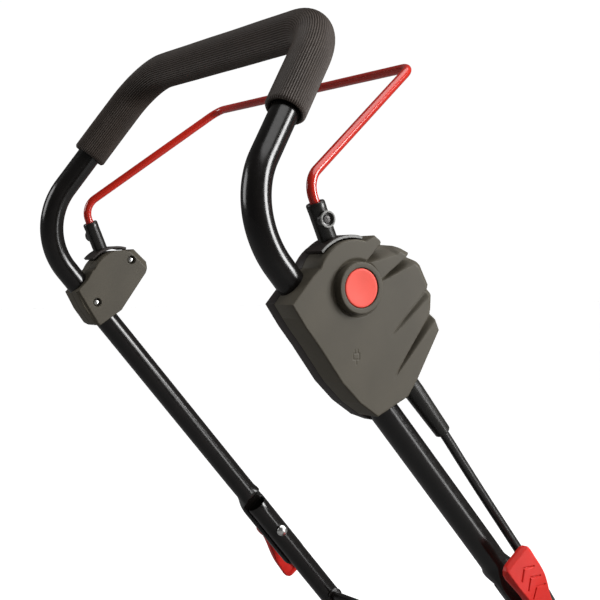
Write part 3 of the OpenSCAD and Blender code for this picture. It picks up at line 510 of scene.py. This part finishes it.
def add_foam_mouth(bm, rim, centre, inward):
    """Leads the foam's rim over the cut end and 6 mm in, round the tube. Radii and sinks are in metres."""
    grid = [list(rim)]
    for radius, sink in ((0.0152, 0.0), (0.0145, 0.0005), (0.0140, 0.003), (0.0127, 0.006)):
        ring = []
        for v in rim:
            away = v.co - centre
            away -= inward * away.dot(inward)
            ring.append(bm.verts.new(centre + away.normalized() * radius + inward * sink))
        grid.append(ring)
    join_rings(bm, grid)


def grip_foam():
    """Ribbed foam over the top of the handle, open at both ends round the tube."""
    leg = (Vector((SIDE_X, 0, 0)) - CORNER).normalized()
    line = rounded_line([CORNER + leg * 104, CORNER, flip(CORNER), flip(CORNER + leg * 110)], [55, 55], 4)
    count = FOAM_RIBS * POINTS_PER_RIB
    total = sum((b - a).length for a, b in zip(line, line[1:]))

    def section(length):
        rounding = 1.4 * (1 - step(0, 2.2, min(length, total - length)))
        points = []
        for k in range(count):
            a = 2 * math.pi * k / count
            groove = 0.85 * (0.5 - 0.5 * math.cos(FOAM_RIBS * a)) ** 1.6
            sway = 0.12 * math.sin(length * 0.045 + 3 * a) * math.sin(length * 0.019)
            reach = GRIP_R - groove - rounding + sway
            points.append((reach * math.cos(a), reach * math.sin(a)))
        return points

    fine = [line[0], line[0].lerp(line[1], 0.2), line[0].lerp(line[1], 0.5)] + line[1:-1]
    fine += [line[-2].lerp(line[-1], 0.5), line[-2].lerp(line[-1], 0.8), line[-1]]
    bm = bmesh.new()
    add_tube(bm, fine, section, closed=False)
    bm.verts.ensure_lookup_table()
    mouths = ((bm.verts[:count], fine[0], fine[1]), (bm.verts[-count:], fine[-1], fine[-2]))
    for rim, end, before in mouths:
        add_foam_mouth(bm, rim, place(end), (before - end).normalized())
    foam = finish_piece("ribbed_grip", bm, "foam", "upper_handle", ("grip_foam",), 60)
    return foam


# ---- Bail ----

def bail_ray(r):
    return BAIL + SLEEVE_DIR * r


def bail_wire():
    corner = Vector((178, 203.5, 137.5))
    line = rounded_line([bail_ray(46), bail_ray(92), corner, flip(corner), flip(bail_ray(92)),
                         flip(bail_ray(46))], [20, 17, 17, 20], 6)
    bm = bmesh.new()
    add_tube(bm, line, lambda length: circle(BAIL_R, 28))
    return finish_piece("bail_rod", bm, "red_metal", "bail", ("bail_wire",), 40)


def arc_strip(name, hand, start, turn, profile, material):
    """Strip about the bail's pivot, from start degrees off the sleeve; profile gives (radius, x) pairs."""
    bm = bmesh.new()
    rings = []
    for k in range(25):
        a = SLEEVE_ANGLE + math.radians(start + turn * k / 24)
        way = Vector((0, math.cos(a), math.sin(a)))
        rings.append([place(hand(BAIL + way * r + X_AXIS * x)) for r, x in profile])
    add_rings(bm, rings)
    finish_piece(name, bm, material, "bail")


def hub_shield(name, hand):
    """Curved shield over the dome of the housing, in plastic darkened as painted shade, with a lip along its
    outer edge painted grey as a highlight.
    """
    inner, outer, half, cut = DOME_R + 1.1, DOME_R + 3.9, 12.5, 0.6
    arc_strip(name.replace("shape", "shield"), hand, -37, 62,
              [(inner, -half + cut), (inner + cut, -half), (outer - cut, -half), (outer, -half + cut),
               (outer, half - cut), (outer - cut, half), (inner + cut, half), (inner, half - cut)],
              "painted_shade_plastic")
    arc_strip(name.replace("shape", "lip"), hand, -36.6, 61.2,
              [(inner + 0.4, half - 0.3), (outer - 0.4, half - 0.3), (outer - 0.5, half + 0.2),
               (inner + 0.5, half + 0.2)], "grey_rim")


def bail_hub(name, node, mirror):
    """Sleeve that holds the rod, with its ring boss, above the curved shield and the web."""
    hand = flip if mirror else Vector
    x_out = hand(X_AXIS)
    bm = bmesh.new()
    add_lathe(bm, [(4.35, 39), (7.4, 39), (7.9, 42), (7.9, 66.5), (8.05, 67.5), (8.05, 72), (7.4, 73),
                   (5.0, 73), (4.5, 72), (4.35, 60)], hand(BAIL), SLEEVE_DIR, (1, 0, 0), 48)
    add_lathe(bm, [(3.75, 3), (6.8, 3), (6.8, 9.8), (5.5, 9.8), (5.4, 9.2), (3.75, 8.8)],
              hand(bail_ray(BOSS_AT)), x_out, (0, 1, 0), 48)
    # The boss's rim is painted grey as a highlight on the gloss black plastic.
    rim = bmesh.new()
    add_lathe(rim, [(5.4, 9.7), (7.0, 9.7), (7.1, 10.0), (7.0, 10.7), (6.6, 11), (5.8, 11), (5.4, 10.6)],
              hand(bail_ray(BOSS_AT)), x_out, (0, 1, 0), 48)
    finish_piece(name.replace("shape", "rim"), rim, "grey_rim", "bail")
    hub_shield(name, hand)
    across = Vector((0, -SLEEVE_DIR.z, SLEEVE_DIR.y))
    add_rings(bm, [[place(hand(BAIL + X_AXIS * x + SLEEVE_DIR * r + across * w))
                    for r, w in ((0, -4.4), (41, -4.4), (41, 4.4), (0, 4.4))] for x in (-2.4, 2.4)])
    add_lathe(bm, [(0.0, -15), (4.6, -15), (5, -14.6), (5, 5.3), (4.6, 5.7), (0.0, 5.7)], hand(BAIL), x_out,
              (0, 1, 0), 40)
    return finish_piece(name, bm, "gloss_plastic", "bail", (node,), 35)


def bail_screws():
    """Cross-head screws, deep in the bosses of the two hubs, painted near black as the shade in those bosses.
    """
    bm = bmesh.new()
    for hand, x_out in ((Vector, 1), (flip, -1)):
        origin = hand(bail_ray(BOSS_AT))
        add_lathe(bm, [(0.0, 4.4), (3.6, 4.4), (3.6, 8.3), (3.0, 9.1), (1.5, 9.3), (0.0, 9.3)], origin,
                  (x_out, 0, 0), (0, 1, 0), 32)
        for turn in (20, 110):
            a = math.radians(turn)
            way = Vector((0, math.cos(a), math.sin(a)))
            across = Vector((0, -way.z, way.y))
            blade = []
            for h in (8.0, 9.42):
                blade.append([place(origin + X_AXIS * x_out * h + way * u + across * v)
                              for u, v in ((-2.1, -0.35), (2.1, -0.35), (2.1, 0.35), (-2.1, 0.35))])
            add_rings(bm, blade)
    return finish_piece("hub_screws", bm, "dark_metal", "bail", ("bail_screws",), 30)


# ---- Switch box ----

BOX_OUTLINE = [(34.5, -73), (47, -91), (60, -107), (82.5, -137), (100, -154), (118, -166), (149, -151),
               (159, -137), (182, -96), (174.5, -79), (175, -66.5), (171.5, -57), (163, -41), (150.5, -30.5),
               (138, -25), (123.5, -23.5), (114.5, -17), (104, -22.5), (60, -45), (53, -51.5)]
BOX_MIDDLE = (110, -88)
# Each crease of the fan: inner end, outer end, depth and width of the step at the rim
CREASES = [((104, -41), (122.6, -23.5), 12.0, 15.0), ((117, -57), (150, -33), 8.5, 9.5),
           ((128, -104), (171.5, -59), 3.2, 7.0), ((131, -140), (175, -79), 5.0, 8.0)]
# Engraved plug mark: strokes between points
PLUG_MARK = [((93, -118), (99, -118)), ((99, -118), (99, -113)), ((99, -113), (93, -113)),
             ((93, -113), (93, -118)), ((94.5, -113), (94.5, -110)), ((97.5, -113), (97.5, -110)),
             ((96, -118), (96, -122))]


def stroke_distance(p, a, b):
    a, b = Vector(a), Vector(b)
    t = min(1.0, max(0.0, (p - a).dot(b - a) / (b - a).length_squared))
    return (p - a - (b - a) * t).length


def box_face(u, v):
    """Height of the switch box's outer face: a fan of overlapping lobes beside the button."""
    p = Vector((u, v))
    height = float(BOX_OUT)
    for inner, outer, depth, width in CREASES:
        a, b = Vector(inner), Vector(outer)
        way = (b - a).normalized()
        t = (p - a).dot(way) / (b - a).length
        off = (p - a).x * way.y - (p - a).y * way.x
        if t <= 0 or off < -1 or t > 1.6:
            continue
        grow = step(0, 0.62, t)
        reach = max(0.6, width * min(1.15, t))
        fall = step(-1.1, 0.5, off) * (1 - step(0.25, 1.0, off / reach))
        height -= depth * grow * fall
    forward_edge = min(stroke_distance(p, a, b) for a, b in zip(BOX_OUTLINE[9:15], BOX_OUTLINE[10:16]))
    height -= 2.4 * (1 - step(0.4, 4.5, forward_edge))
    r = math.hypot(u - BUTTON[0], v - BUTTON[1])
    height -= 1.6 * (1 - step(RING_R, RING_R + 3.6, r))
    mark = min(stroke_distance(p, a, b) for a, b in PLUG_MARK)
    height -= 0.3 * (1 - step(0.2, 0.6, mark))
    return height


def to_side(u, v, height):
    return place((height, u, v))


def to_far_side(u, v, height):
    return place((-height, u, v))


def switch_box():
    bm = bmesh.new()
    outline = star_outline(BOX_OUTLINE, BOX_MIDDLE, [((BAIL.y, BAIL.z), DOME_R)], 480)
    add_relief(bm, outline, BOX_MIDDLE, box_face, lambda u, v: BOX_SPLIT + 0.1, to_side, rings=105, edge=1.3,
               base_edge=0.5)
    return finish_piece("switch_box_cover", bm, "dark_plastic", "upper_handle", ("switch_box_outer",), 38)


def button_and_ring():
    origin = Vector((0, BUTTON[0], BUTTON[1]))
    bm = bmesh.new()
    top = BOX_OUT + 6.5
    profile = [(BUTTON_R + 0.35, BOX_OUT - 5), (RING_R, BOX_OUT - 5)]
    profile += arc_points((RING_R - 1.2, top - 1.2), 1.2, 0, 90, 5)
    profile += [(RING_R - 3.2, top - 0.15)]
    profile += arc_points((BUTTON_R + 1.15, top - 0.95), 0.8, 90, 180, 4)
    add_lathe(bm, profile, origin, X_AXIS, (0, 1, 0), 96)
    finish_piece("button_bezel", bm, "dark_plastic", "upper_handle", ("button_ring",), 35)
    bm = bmesh.new()
    top = BOX_OUT + 6
    profile = [(0.0, BOX_OUT - 6.4), (4.4, BOX_OUT - 6.4), (4.4, BOX_OUT - 5), (BUTTON_R, BOX_OUT - 5)]
    profile += arc_points((BUTTON_R - 1.0, top - 1.0), 1.0, 0, 90, 5)
    profile += [(BUTTON_R - 2.5, top - 0.05), (9, top - 0.35), (4, top - 0.5), (0.0, top - 0.52)]
    add_lathe(bm, profile, origin, X_AXIS, (0, 1, 0), 96)
    finish_piece("lock_button_cap", bm, "coral_plastic", "lock_button", ("lock_button",), 35)


def button_spring():
    """Coil spring under the lock-off button."""
    turns, wire, radius = 3, 0.5, 5.6
    start, end = BOX_SPLIT + 17, BOX_OUT - 5.7
    line = []
    steps = turns * 28
    for k in range(steps + 1):
        a = 2 * math.pi * turns * k / steps
        line.append(Vector((start + (end - start) * k / steps, BUTTON[0] + radius * math.cos(a),
                            BUTTON[1] + radius * math.sin(a))))
    bm = bmesh.new()
    add_tube(bm, line, lambda length: circle(wire, 8))
    spring = finish_piece("button_coil", bm, "steel", None, ("button_spring",), 40)
    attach(spring, "upper_handle")
    place((start - wire, *BUTTON))
    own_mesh(spring)


# ---- Left bracket ----

BRACKET_OUTLINE = [(42, -67.5), (52, -86), (64, -102), (69, -104.5), (95, -88), (125, -46), (127.5, -38),
                   (127.5, -34), (112, -20), (104, -22.5), (60, -45), (54, -55)]
BRACKET_MIDDLE = (90, -64)
BRACKET_SCREWS = [(107, -32), (66, -79)]
BOX_SCREWS = [(62, -100), (100, -146.5), (168, -97), (156, -48)]


def bracket_inner_face(u, v):
    """Face with a wide chamfer along the forward edge and two screw pockets."""
    height = -float(BRACKET_IN)
    a, b = Vector((112, -20)), Vector((127.5, -34))
    way = (b - a).normalized()
    off = (Vector((u, v)) - a).x * -way.y + (Vector((u, v)) - a).y * way.x
    height -= 4.5 * step(-7.5, -0.5, off)
    rear_a, rear_b = Vector((42, -67.5)), Vector((64, -102))
    way = (rear_b - rear_a).normalized()
    off = (Vector((u, v)) - rear_a).x * way.y - (Vector((u, v)) - rear_a).y * way.x
    height -= 2.2 * step(-3.2, -0.4, off)
    for screw in BRACKET_SCREWS:
        r = math.hypot(u - screw[0], v - screw[1])
        height -= 4.2 * (1 - step(4.3, 4.9, r))
    return height


def bracket_covers():
    rear = arc_points((BAIL.y, BAIL.z), DOME_R - 1, 80, 155, 15)
    shape = BRACKET_OUTLINE[:10] + rear + BRACKET_OUTLINE[10:]
    outline = star_outline(shape, BRACKET_MIDDLE, (), 320)
    bm = bmesh.new()
    add_relief(bm, outline, BRACKET_MIDDLE, bracket_inner_face, lambda u, v: -BRACKET_SPLIT + 0.1,
               to_side, rings=90, edge=1.2, base_edge=0.5)
    finish_piece("bracket_inner", bm, "dark_plastic", "upper_handle", ("bracket_inner_cover",), 38)
    bm = bmesh.new()
    add_relief(bm, outline, BRACKET_MIDDLE, lambda u, v: BRACKET_OUT, lambda u, v: BRACKET_SPLIT + 0.1,
               to_far_side, rings=20, edge=3.0, base_edge=0.5)
    finish_piece("bracket_outer", bm, "dark_plastic", "upper_handle", ("bracket_outer_cover",), 38)


def housing_screws():
    """Pan-head screws with a cross slot, sunk in the inner faces of both housings."""
    bm = bmesh.new()
    for screws, hand, face in ((BOX_SCREWS, Vector, BOX_IN), (BRACKET_SCREWS, flip, BRACKET_IN)):
        for y, z in screws:
            origin = hand((face, y, z))
            inward = Vector((1 if origin.x > 0 else -1, 0, 0))
            add_lathe(bm, [(0.0, 8), (1.6, 8), (1.6, 4), (3.3, 4), (3.3, 2.7), (2.7, 1.9), (1.6, 1.45),
                           (0.0, 1.3)], origin, inward, (0, 1, 0), 32)
            for way, across in (((0, 1, 0), (0, 0, 1)), ((0, 0, 1), (0, 1, 0))):
                way, across = Vector(way), Vector(across)
                add_rings(bm, [[place(origin + inward * h + way * u + across * v)
                                for u, v in ((-1.6, -0.3), (1.6, -0.3), (1.6, 0.3), (-1.6, 0.3))]
                               for h in (1.18, 2.5)])
    return finish_piece("housing_screw_heads", bm, "steel", "upper_handle", ("housing_screws",), 35)


# ---- Fold joints ----

def joint_bolts():
    """Carriage bolts: domed heads inside, washers and barrel pins outside."""
    bm = bmesh.new()
    for hand, sign in ((Vector, 1), (flip, -1)):
        origin = hand(on_tube(BOLT_S))
        axis = Vector((sign, 0, 0))
        dome = [(0.0, -TUBE_R - 0.3), (7.0, -TUBE_R - 0.3)]
        dome += [(7.0 * math.cos(math.radians(a)), -TUBE_R - 0.9 - 4.2 * math.sin(math.radians(a)))
                 for a in (0, 15, 30, 45, 60, 75)] + [(0.0, -TUBE_R - 5.1)]
        add_lathe(bm, dome, origin, axis, (0, 1, 0), 40)
        add_lathe(bm, [(0.0, -TUBE_R), (4, -TUBE_R), (4, LEVER_PIN), (0.0, LEVER_PIN)], origin, axis,
                  (0, 1, 0), 32)
        add_lathe(bm, [(4, TAB_OUT + 0.05), (8.8, TAB_OUT + 0.05), (9, TAB_OUT + 0.2), (9, TAB_OUT + 0.5),
                       (8.7, TAB_OUT + 0.7), (4, TAB_OUT + 0.7)], origin, axis, (0, 1, 0), 48)
        pin = origin + axis * LEVER_PIN
        add_lathe(bm, [(0.0, -9.2), (3.8, -9.2), (4.4, -8.6), (4.4, 8.6), (3.8, 9.2), (0.0, 9.2)], pin,
                  OUT, (1, 0, 0), 32)
    return finish_piece("fold_bolts", bm, "steel", "upper_handle", ("joint_bolts",), 35)


LEVER_OUTLINE = [(5, -9.5), (5, 9.5), (18, 11.5), (56, 16.6), (72, 18), (76.5, 17.4), (80, 15), (81.7, 11.5),
                 (82, 8), (82, -8), (81.7, -11.5), (80, -15), (76.5, -17.4), (72, -18), (56, -16.6),
                 (18, -11.5)]


def lever_top(u, v):
    """Outer face of a cam lever: it rises from the cam and carries three thin chevron grooves."""
    height = 9.5 + 11 * step(2, 52, u)
    edge = min(12 + 6 * step(5, 60, u) - abs(v), 82.5 - u)
    height -= 3.4 * (1 - step(0.2, 3.8, edge))
    for apex in (44, 56, 68):
        groove = min(stroke_distance(Vector((u, v)), (apex, 0), (apex - 7, side * 9)) for side in (-1, 1))
        height -= 1.1 * (1 - step(0.35, 0.95, groove))
    return height


def lever_base(u, v):
    """Under side, hollow between side walls, with a rib down the middle."""
    floor = 1 + 12.5 * step(6, 58, u)
    inside = 9 + 7 * step(5, 72, u)
    hollow = step(18, 22, u) * (1 - step(77, 79, u)) * (1 - step(inside - 1.2, inside, abs(v)))
    rib = 1 - step(0.9, 1.5, abs(v))
    return floor + 3.6 * hollow * (1 - rib)


def cam_lever(name, node, origin, along, body):
    outward = X_AXIS * (1 if origin.x > 0 else -1)
    across = outward.cross(along)
    bm = bmesh.new()

    def to_world(u, v, height):
        return place(origin + along * u + across * v + outward * height)

    add_relief(bm, star_outline(LEVER_OUTLINE, (44, 0), (), 300), (44, 0), lever_top, lever_base, to_world,
               rings=56, edge=0.9, base_edge=0.5, base_rings=44)
    for side in (-1, 1):
        profile = [(4.6, 4.7), (8.6, 4.7), (9, 5.1), (9, 10.6), (8.6, 11), (5.0, 11), (4.6, 10.6)]
        add_lathe(bm, [(r, side * h) for r, h in profile], origin, across, along, 48)
    return finish_piece(name, bm, "red_plastic", body, (node,), 35)


# ---- Cable ----

def smooth_line(points, steps=6):
    """Catmull-Rom curve through the points."""
    points = [Vector(p) for p in points]
    line = []
    for i in range(len(points) - 1):
        a, b = points[max(i - 1, 0)], points[i]
        c, d = points[i + 1], points[min(i + 2, len(points) - 1)]
        for k in range(steps):
            t = k / steps
            line.append(0.5 * (2 * b + (c - a) * t + (2 * a - 5 * b + 4 * c - d) * t * t
                               + (3 * b - a - 3 * c + d) * t ** 3))
    line.append(points[-1])
    return line


def deck_point(x, y, z):
    """A point of the cutting unit, brought into the bend frame."""
    return Vector((x, y + DECK_SHIFT, z)) - ORIGIN


BOOT_TOP = on_tube(222, 32, 226)
BOOT_END = on_tube(272, 32, 226)
CLIP_S = 620  # the two cable pieces meet under this clip
GLAND_END = deck_point(120, -66, 264)
GLAND_DIR = Vector((-0.3, 0.1, -1)).normalized()


def cable_boot():
    bm = bmesh.new()
    axis = (BOOT_END - BOOT_TOP).normalized()
    profile = [(CABLE_R, -9), (8.8, -9), (8.8, 3), (7.2, 49), (7.1, 49.8), (6.6, 50.4), (5.2, 50.6),
               (CABLE_R, 50.2)]
    add_lathe(bm, profile, BOOT_TOP, axis, (1, 0, 0), 48)
    return finish_piece("cable_strain_relief", bm, "gloss_plastic", "upper_handle", ("cable_boot",), 40)


def cables():
    upper = [BOOT_TOP - 6 * DOWN, BOOT_TOP + 25 * DOWN, BOOT_END + 2 * DOWN, on_tube(310, 30.5, 225),
             on_tube(350, 29, 224), on_tube(400, 28, 222), on_tube(440, 27.5, 220), on_tube(471, 27, 218),
             on_tube(500, 25, 217), on_tube(540, 21, 217), on_tube(580, 17.6, 218),
             on_tube(CLIP_S, 17.6, 218)]
    lower = [on_tube(CLIP_S, 17.6, 218), on_tube(700, 17.6, 218), on_tube(755, 17.6, 218),
             on_tube(780, 21, 217),
             on_tube(796, 28, 213), on_tube(803, 30.5, 208), on_tube(803, 30.5, 200),
             on_tube(803, 30.5, 190) + Vector((0, 1.2, 0.5)), on_tube(803, 30.5, 172) + Vector((0, 17, 3)),
             deck_point(152, -85, 287), deck_point(135, -71, 284), GLAND_END - 11 * GLAND_DIR, GLAND_END,
             GLAND_END + 12 * GLAND_DIR]
    bm = bmesh.new()
    add_tube(bm, smooth_line(upper, 9), lambda length: circle(CABLE_R, 24))
    piece = finish_piece("motor_cable_upper", bm, "cable_sheath", None, ("cable_upper",), 40)
    place(on_tube(425, 27, 219))
    place(on_tube(520, 23, 217))
    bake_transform(piece)
    bm = bmesh.new()
    add_tube(bm, smooth_line(lower, 9), lambda length: circle(CABLE_R, 24))
    piece = finish_piece("motor_cable_lower", bm, "cable_sheath", None, ("cable_lower", "cable_deck"), 40)
    place(on_tube(801, 30, 212))
    place(deck_point(148, -82, 287))
    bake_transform(piece)


# ---- Hood ----

REEL = (35, 108)
MOTOR = (-74, 196)
HOOD_MIDDLE = (-25, 150)
HOOD_EDGE = 152  # height at which the ribs end


def hood_outline(grow):
    """Outline of the hood's outer face from the front edge over the top to the rear edge."""
    reel_r, motor_r = 87 + grow, 53 + grow
    shape = [circle_point(REEL, reel_r, 100), circle_point(MOTOR, motor_r, 70),
             circle_point(MOTOR, motor_r, 200), (-136 - grow, 110), (-30, 110), REEL]
    outline = star_outline(shape, HOOD_MIDDLE, [(REEL, reel_r), (MOTOR, motor_r)], 360)
    points = [Vector(HOOD_MIDDLE) + ray * reach for ray, reach in outline]
    return [p for p in points if p.y > HOOD_EDGE]


def hood_ribs():
    """Low ribs moulded over the hood, in groups, clear of the cable gland."""
    bm = bmesh.new()
    base, low, top = hood_outline(-0.6), hood_outline(0.7), hood_outline(1.1)
    count = min(len(base), len(low), len(top))

    def pick(outline, i):
        return outline[round(i * (len(outline) - 1) / (count - 1))]

    # The middle six stand between the vent slots.
    for x in (-174, -162, -150, -64, -36, -8, 20, 48, 76, 150, 162, 174):
        rings = []
        for i in range(count):
            b, m, t = pick(base, i), pick(low, i), pick(top, i)
            end = step(0, 7, min(i, count - 1 - i))
            lift = [b[k] + (t[k] - b[k]) * end for k in range(2)]
            side = [b[k] + (m[k] - b[k]) * end for k in range(2)]
            rings.append([place(deck_point(x + dx, *p)) for dx, p in
                          ((-1.7, b), (-1.5, side), (-0.9, lift), (0.9, lift), (1.5, side), (1.7, b))])
        add_rings(bm, rings)
    return finish_piece("hood_ribs", bm, "red_plastic", "cutting_unit", (), 50)


# ---- Parts that keep their CAD shape ----

REFINED = {
    # These parts take the grained plastic darkened as painted shade.
    "painted_shade_plastic": ["switch_box_inner", "mains_inlet", "tube_plugs", "cable_clips", "motor_clamps",
                       "cable_gland", "height_lever", "microswitch"],
    "dark_plastic": ["side_plate_right", "side_plate_left", "belt_guard", "reel_spiders", "reel_pulley",
                     "roller_carrier", "rear_roller", "rim_right", "rim_left"],
    "steel": ["handle_pivot_bolts", "tie_rods", "deck_screws", "axle_stubs", "reel_shaft",
              "motor_pulley", "roller_pins", "bearings"],
    "black_paint": ["cross_brace", "bed_bar"],
    "blade_steel": ["bed_knife", "reel_blades"],
    "red_plastic": ["hood", "hub_cap_right", "hub_cap_left"],
    "tyre": ["tyre_right", "tyre_left", "drive_belt"],
    "aluminium": ["motor_case"],
    "copper": ["motor_rotor"],
}

upper_tube()
lower_tube("lower_tube_right_shape", "lower_tube_right", False)
lower_tube("lower_tube_left_shape", "lower_tube_left", True)
grip_foam()
bail_wire()
bail_hub("bail_hub_right_shape", "bail_hub_right", False)
bail_hub("bail_hub_left_shape", "bail_hub_left", True)
bail_screws()
switch_box()
button_and_ring()
button_spring()
bracket_covers()
housing_screws()
joint_bolts()
cam_lever("cam_lever_right_shape", "cam_lever_right", on_tube(BOLT_S) + X_AXIS * LEVER_PIN, -DOWN,
          "cam_lever_right")
cam_lever("cam_lever_left_shape", "cam_lever_left", flip(on_tube(BOLT_S) + X_AXIS * LEVER_PIN), DOWN,
          "cam_lever_left")
cable_boot()
cables()
hood_ribs()
for material, nodes in REFINED.items():
    for node in nodes:
        refine(node, material)

# ---- Floor, light and camera ----

FLOOR_HALF = 30
FLOOR_GREY, FLOOR_WHITE = 0.22, 0.92  # for the light it throws back, and for the eye
FLOOR_GLOW = 0.34


def add_floor():
    """Plain pale floor, which throws little light back on the object."""
    mesh = bpy.data.meshes.new("floor")
    half = FLOOR_HALF
    mesh.from_pydata([(-half, -half, 0), (half, -half, 0), (half, half, 0), (-half, half, 0)], [],
                     [(0, 1, 2, 3)])
    mat = bpy.data.materials.new("floor_paint")
    mat.use_nodes = True
    tree = mat.node_tree
    shader = tree.nodes["Principled BSDF"]
    shader.inputs["Roughness"].default_value = 0.95
    shader.inputs["Specular IOR Level"].default_value = 0
    shader.inputs["Emission Color"].default_value = (1, 1, 1, 1)
    path = tree.nodes.new("ShaderNodeLightPath")
    tone = tree.nodes.new("ShaderNodeMix")
    tone.data_type = "RGBA"
    for socket, grey in ((6, FLOOR_GREY), (7, FLOOR_WHITE)):  # the Mix node's two colours
        tone.inputs[socket].default_value = (grey, grey, grey, 1)
    node_link(tree, path, "Is Camera Ray", tone, "Factor")
    tree.links.new(next(o for o in tone.outputs if o.type == "RGBA"), shader.inputs["Base Color"])
    glow = tree.nodes.new("ShaderNodeMath")
    glow.operation = "MULTIPLY"
    glow.inputs[1].default_value = FLOOR_GLOW
    node_link(tree, path, "Is Camera Ray", glow, 0)
    node_link(tree, glow, "Value", shader, "Emission Strength")
    mesh.materials.append(mat)
    floor = bpy.data.objects.new("floor", mesh)
    bpy.context.collection.objects.link(floor)


def add_light(name, place_at, aim, size, power, tall=None):
    data = bpy.data.lights.new(name, "AREA")
    data.shape = "RECTANGLE"
    data.size = size
    data.size_y = tall or size
    data.energy = power
    light = bpy.data.objects.new(name, data)
    light.location = place_at
    light.rotation_euler = (Vector(aim) - Vector(place_at)).to_track_quat("-Z", "Y").to_euler()
    light.visible_camera = False
    bpy.context.collection.objects.link(light)


def add_sun(strength, angle, direction):
    data = bpy.data.lights.new("sun", "SUN")
    data.energy = strength
    data.angle = math.radians(angle)
    sun = bpy.data.objects.new("sun", data)
    sun.rotation_euler = Vector(direction).to_track_quat("-Z", "Y").to_euler()
    bpy.context.collection.objects.link(sun)


def add_world(seen, cast):
    """A white surround for the eye that casts only a little light."""
    world = bpy.data.worlds.new("studio")
    world.use_nodes = True
    tree = world.node_tree
    background = tree.nodes["Background"]
    background.inputs["Color"].default_value = (1, 1, 1, 1)
    path = tree.nodes.new("ShaderNodeLightPath")
    choose = tree.nodes.new("ShaderNodeMapRange")
    choose.inputs["To Min"].default_value = cast
    choose.inputs["To Max"].default_value = seen
    node_link(tree, path, "Is Camera Ray", choose, "Value")
    node_link(tree, choose, "Result", background, "Strength")
    bpy.context.scene.world = world


add_floor()
middle = Vector((0, -0.1, 0.65))
add_sun(2.1, 60, (-0.25, -0.2, -0.95))
add_light("key_box", (2.0, 1.7, 1.7), middle, 1.1, 85)
add_light("strip_box", (1.9, 1.25, 0.35), middle, 0.35, 16, 1.8)
add_light("left_box", (-1.4, -2.3, 1.7), middle, 1.2, 22)
add_world(1.02, 0.1)
bpy.context.scene.view_settings.view_transform = "Standard"

CAMERA_AT = (1.0829, -0.8964, 0.8192)
CAMERA_HEADING, CAMERA_PITCH = 57.376, -1.058
CAMERA_LENS = 75.8
camera_data = bpy.data.cameras.new("camera")
camera_data.sensor_width = 36
camera_data.lens = CAMERA_LENS
camera = bpy.data.objects.new("camera", camera_data)
camera.location = CAMERA_AT
camera.rotation_euler = (math.radians(90 + CAMERA_PITCH), 0, math.radians(CAMERA_HEADING))
bpy.context.collection.objects.link(camera)
bpy.context.scene.camera = camera
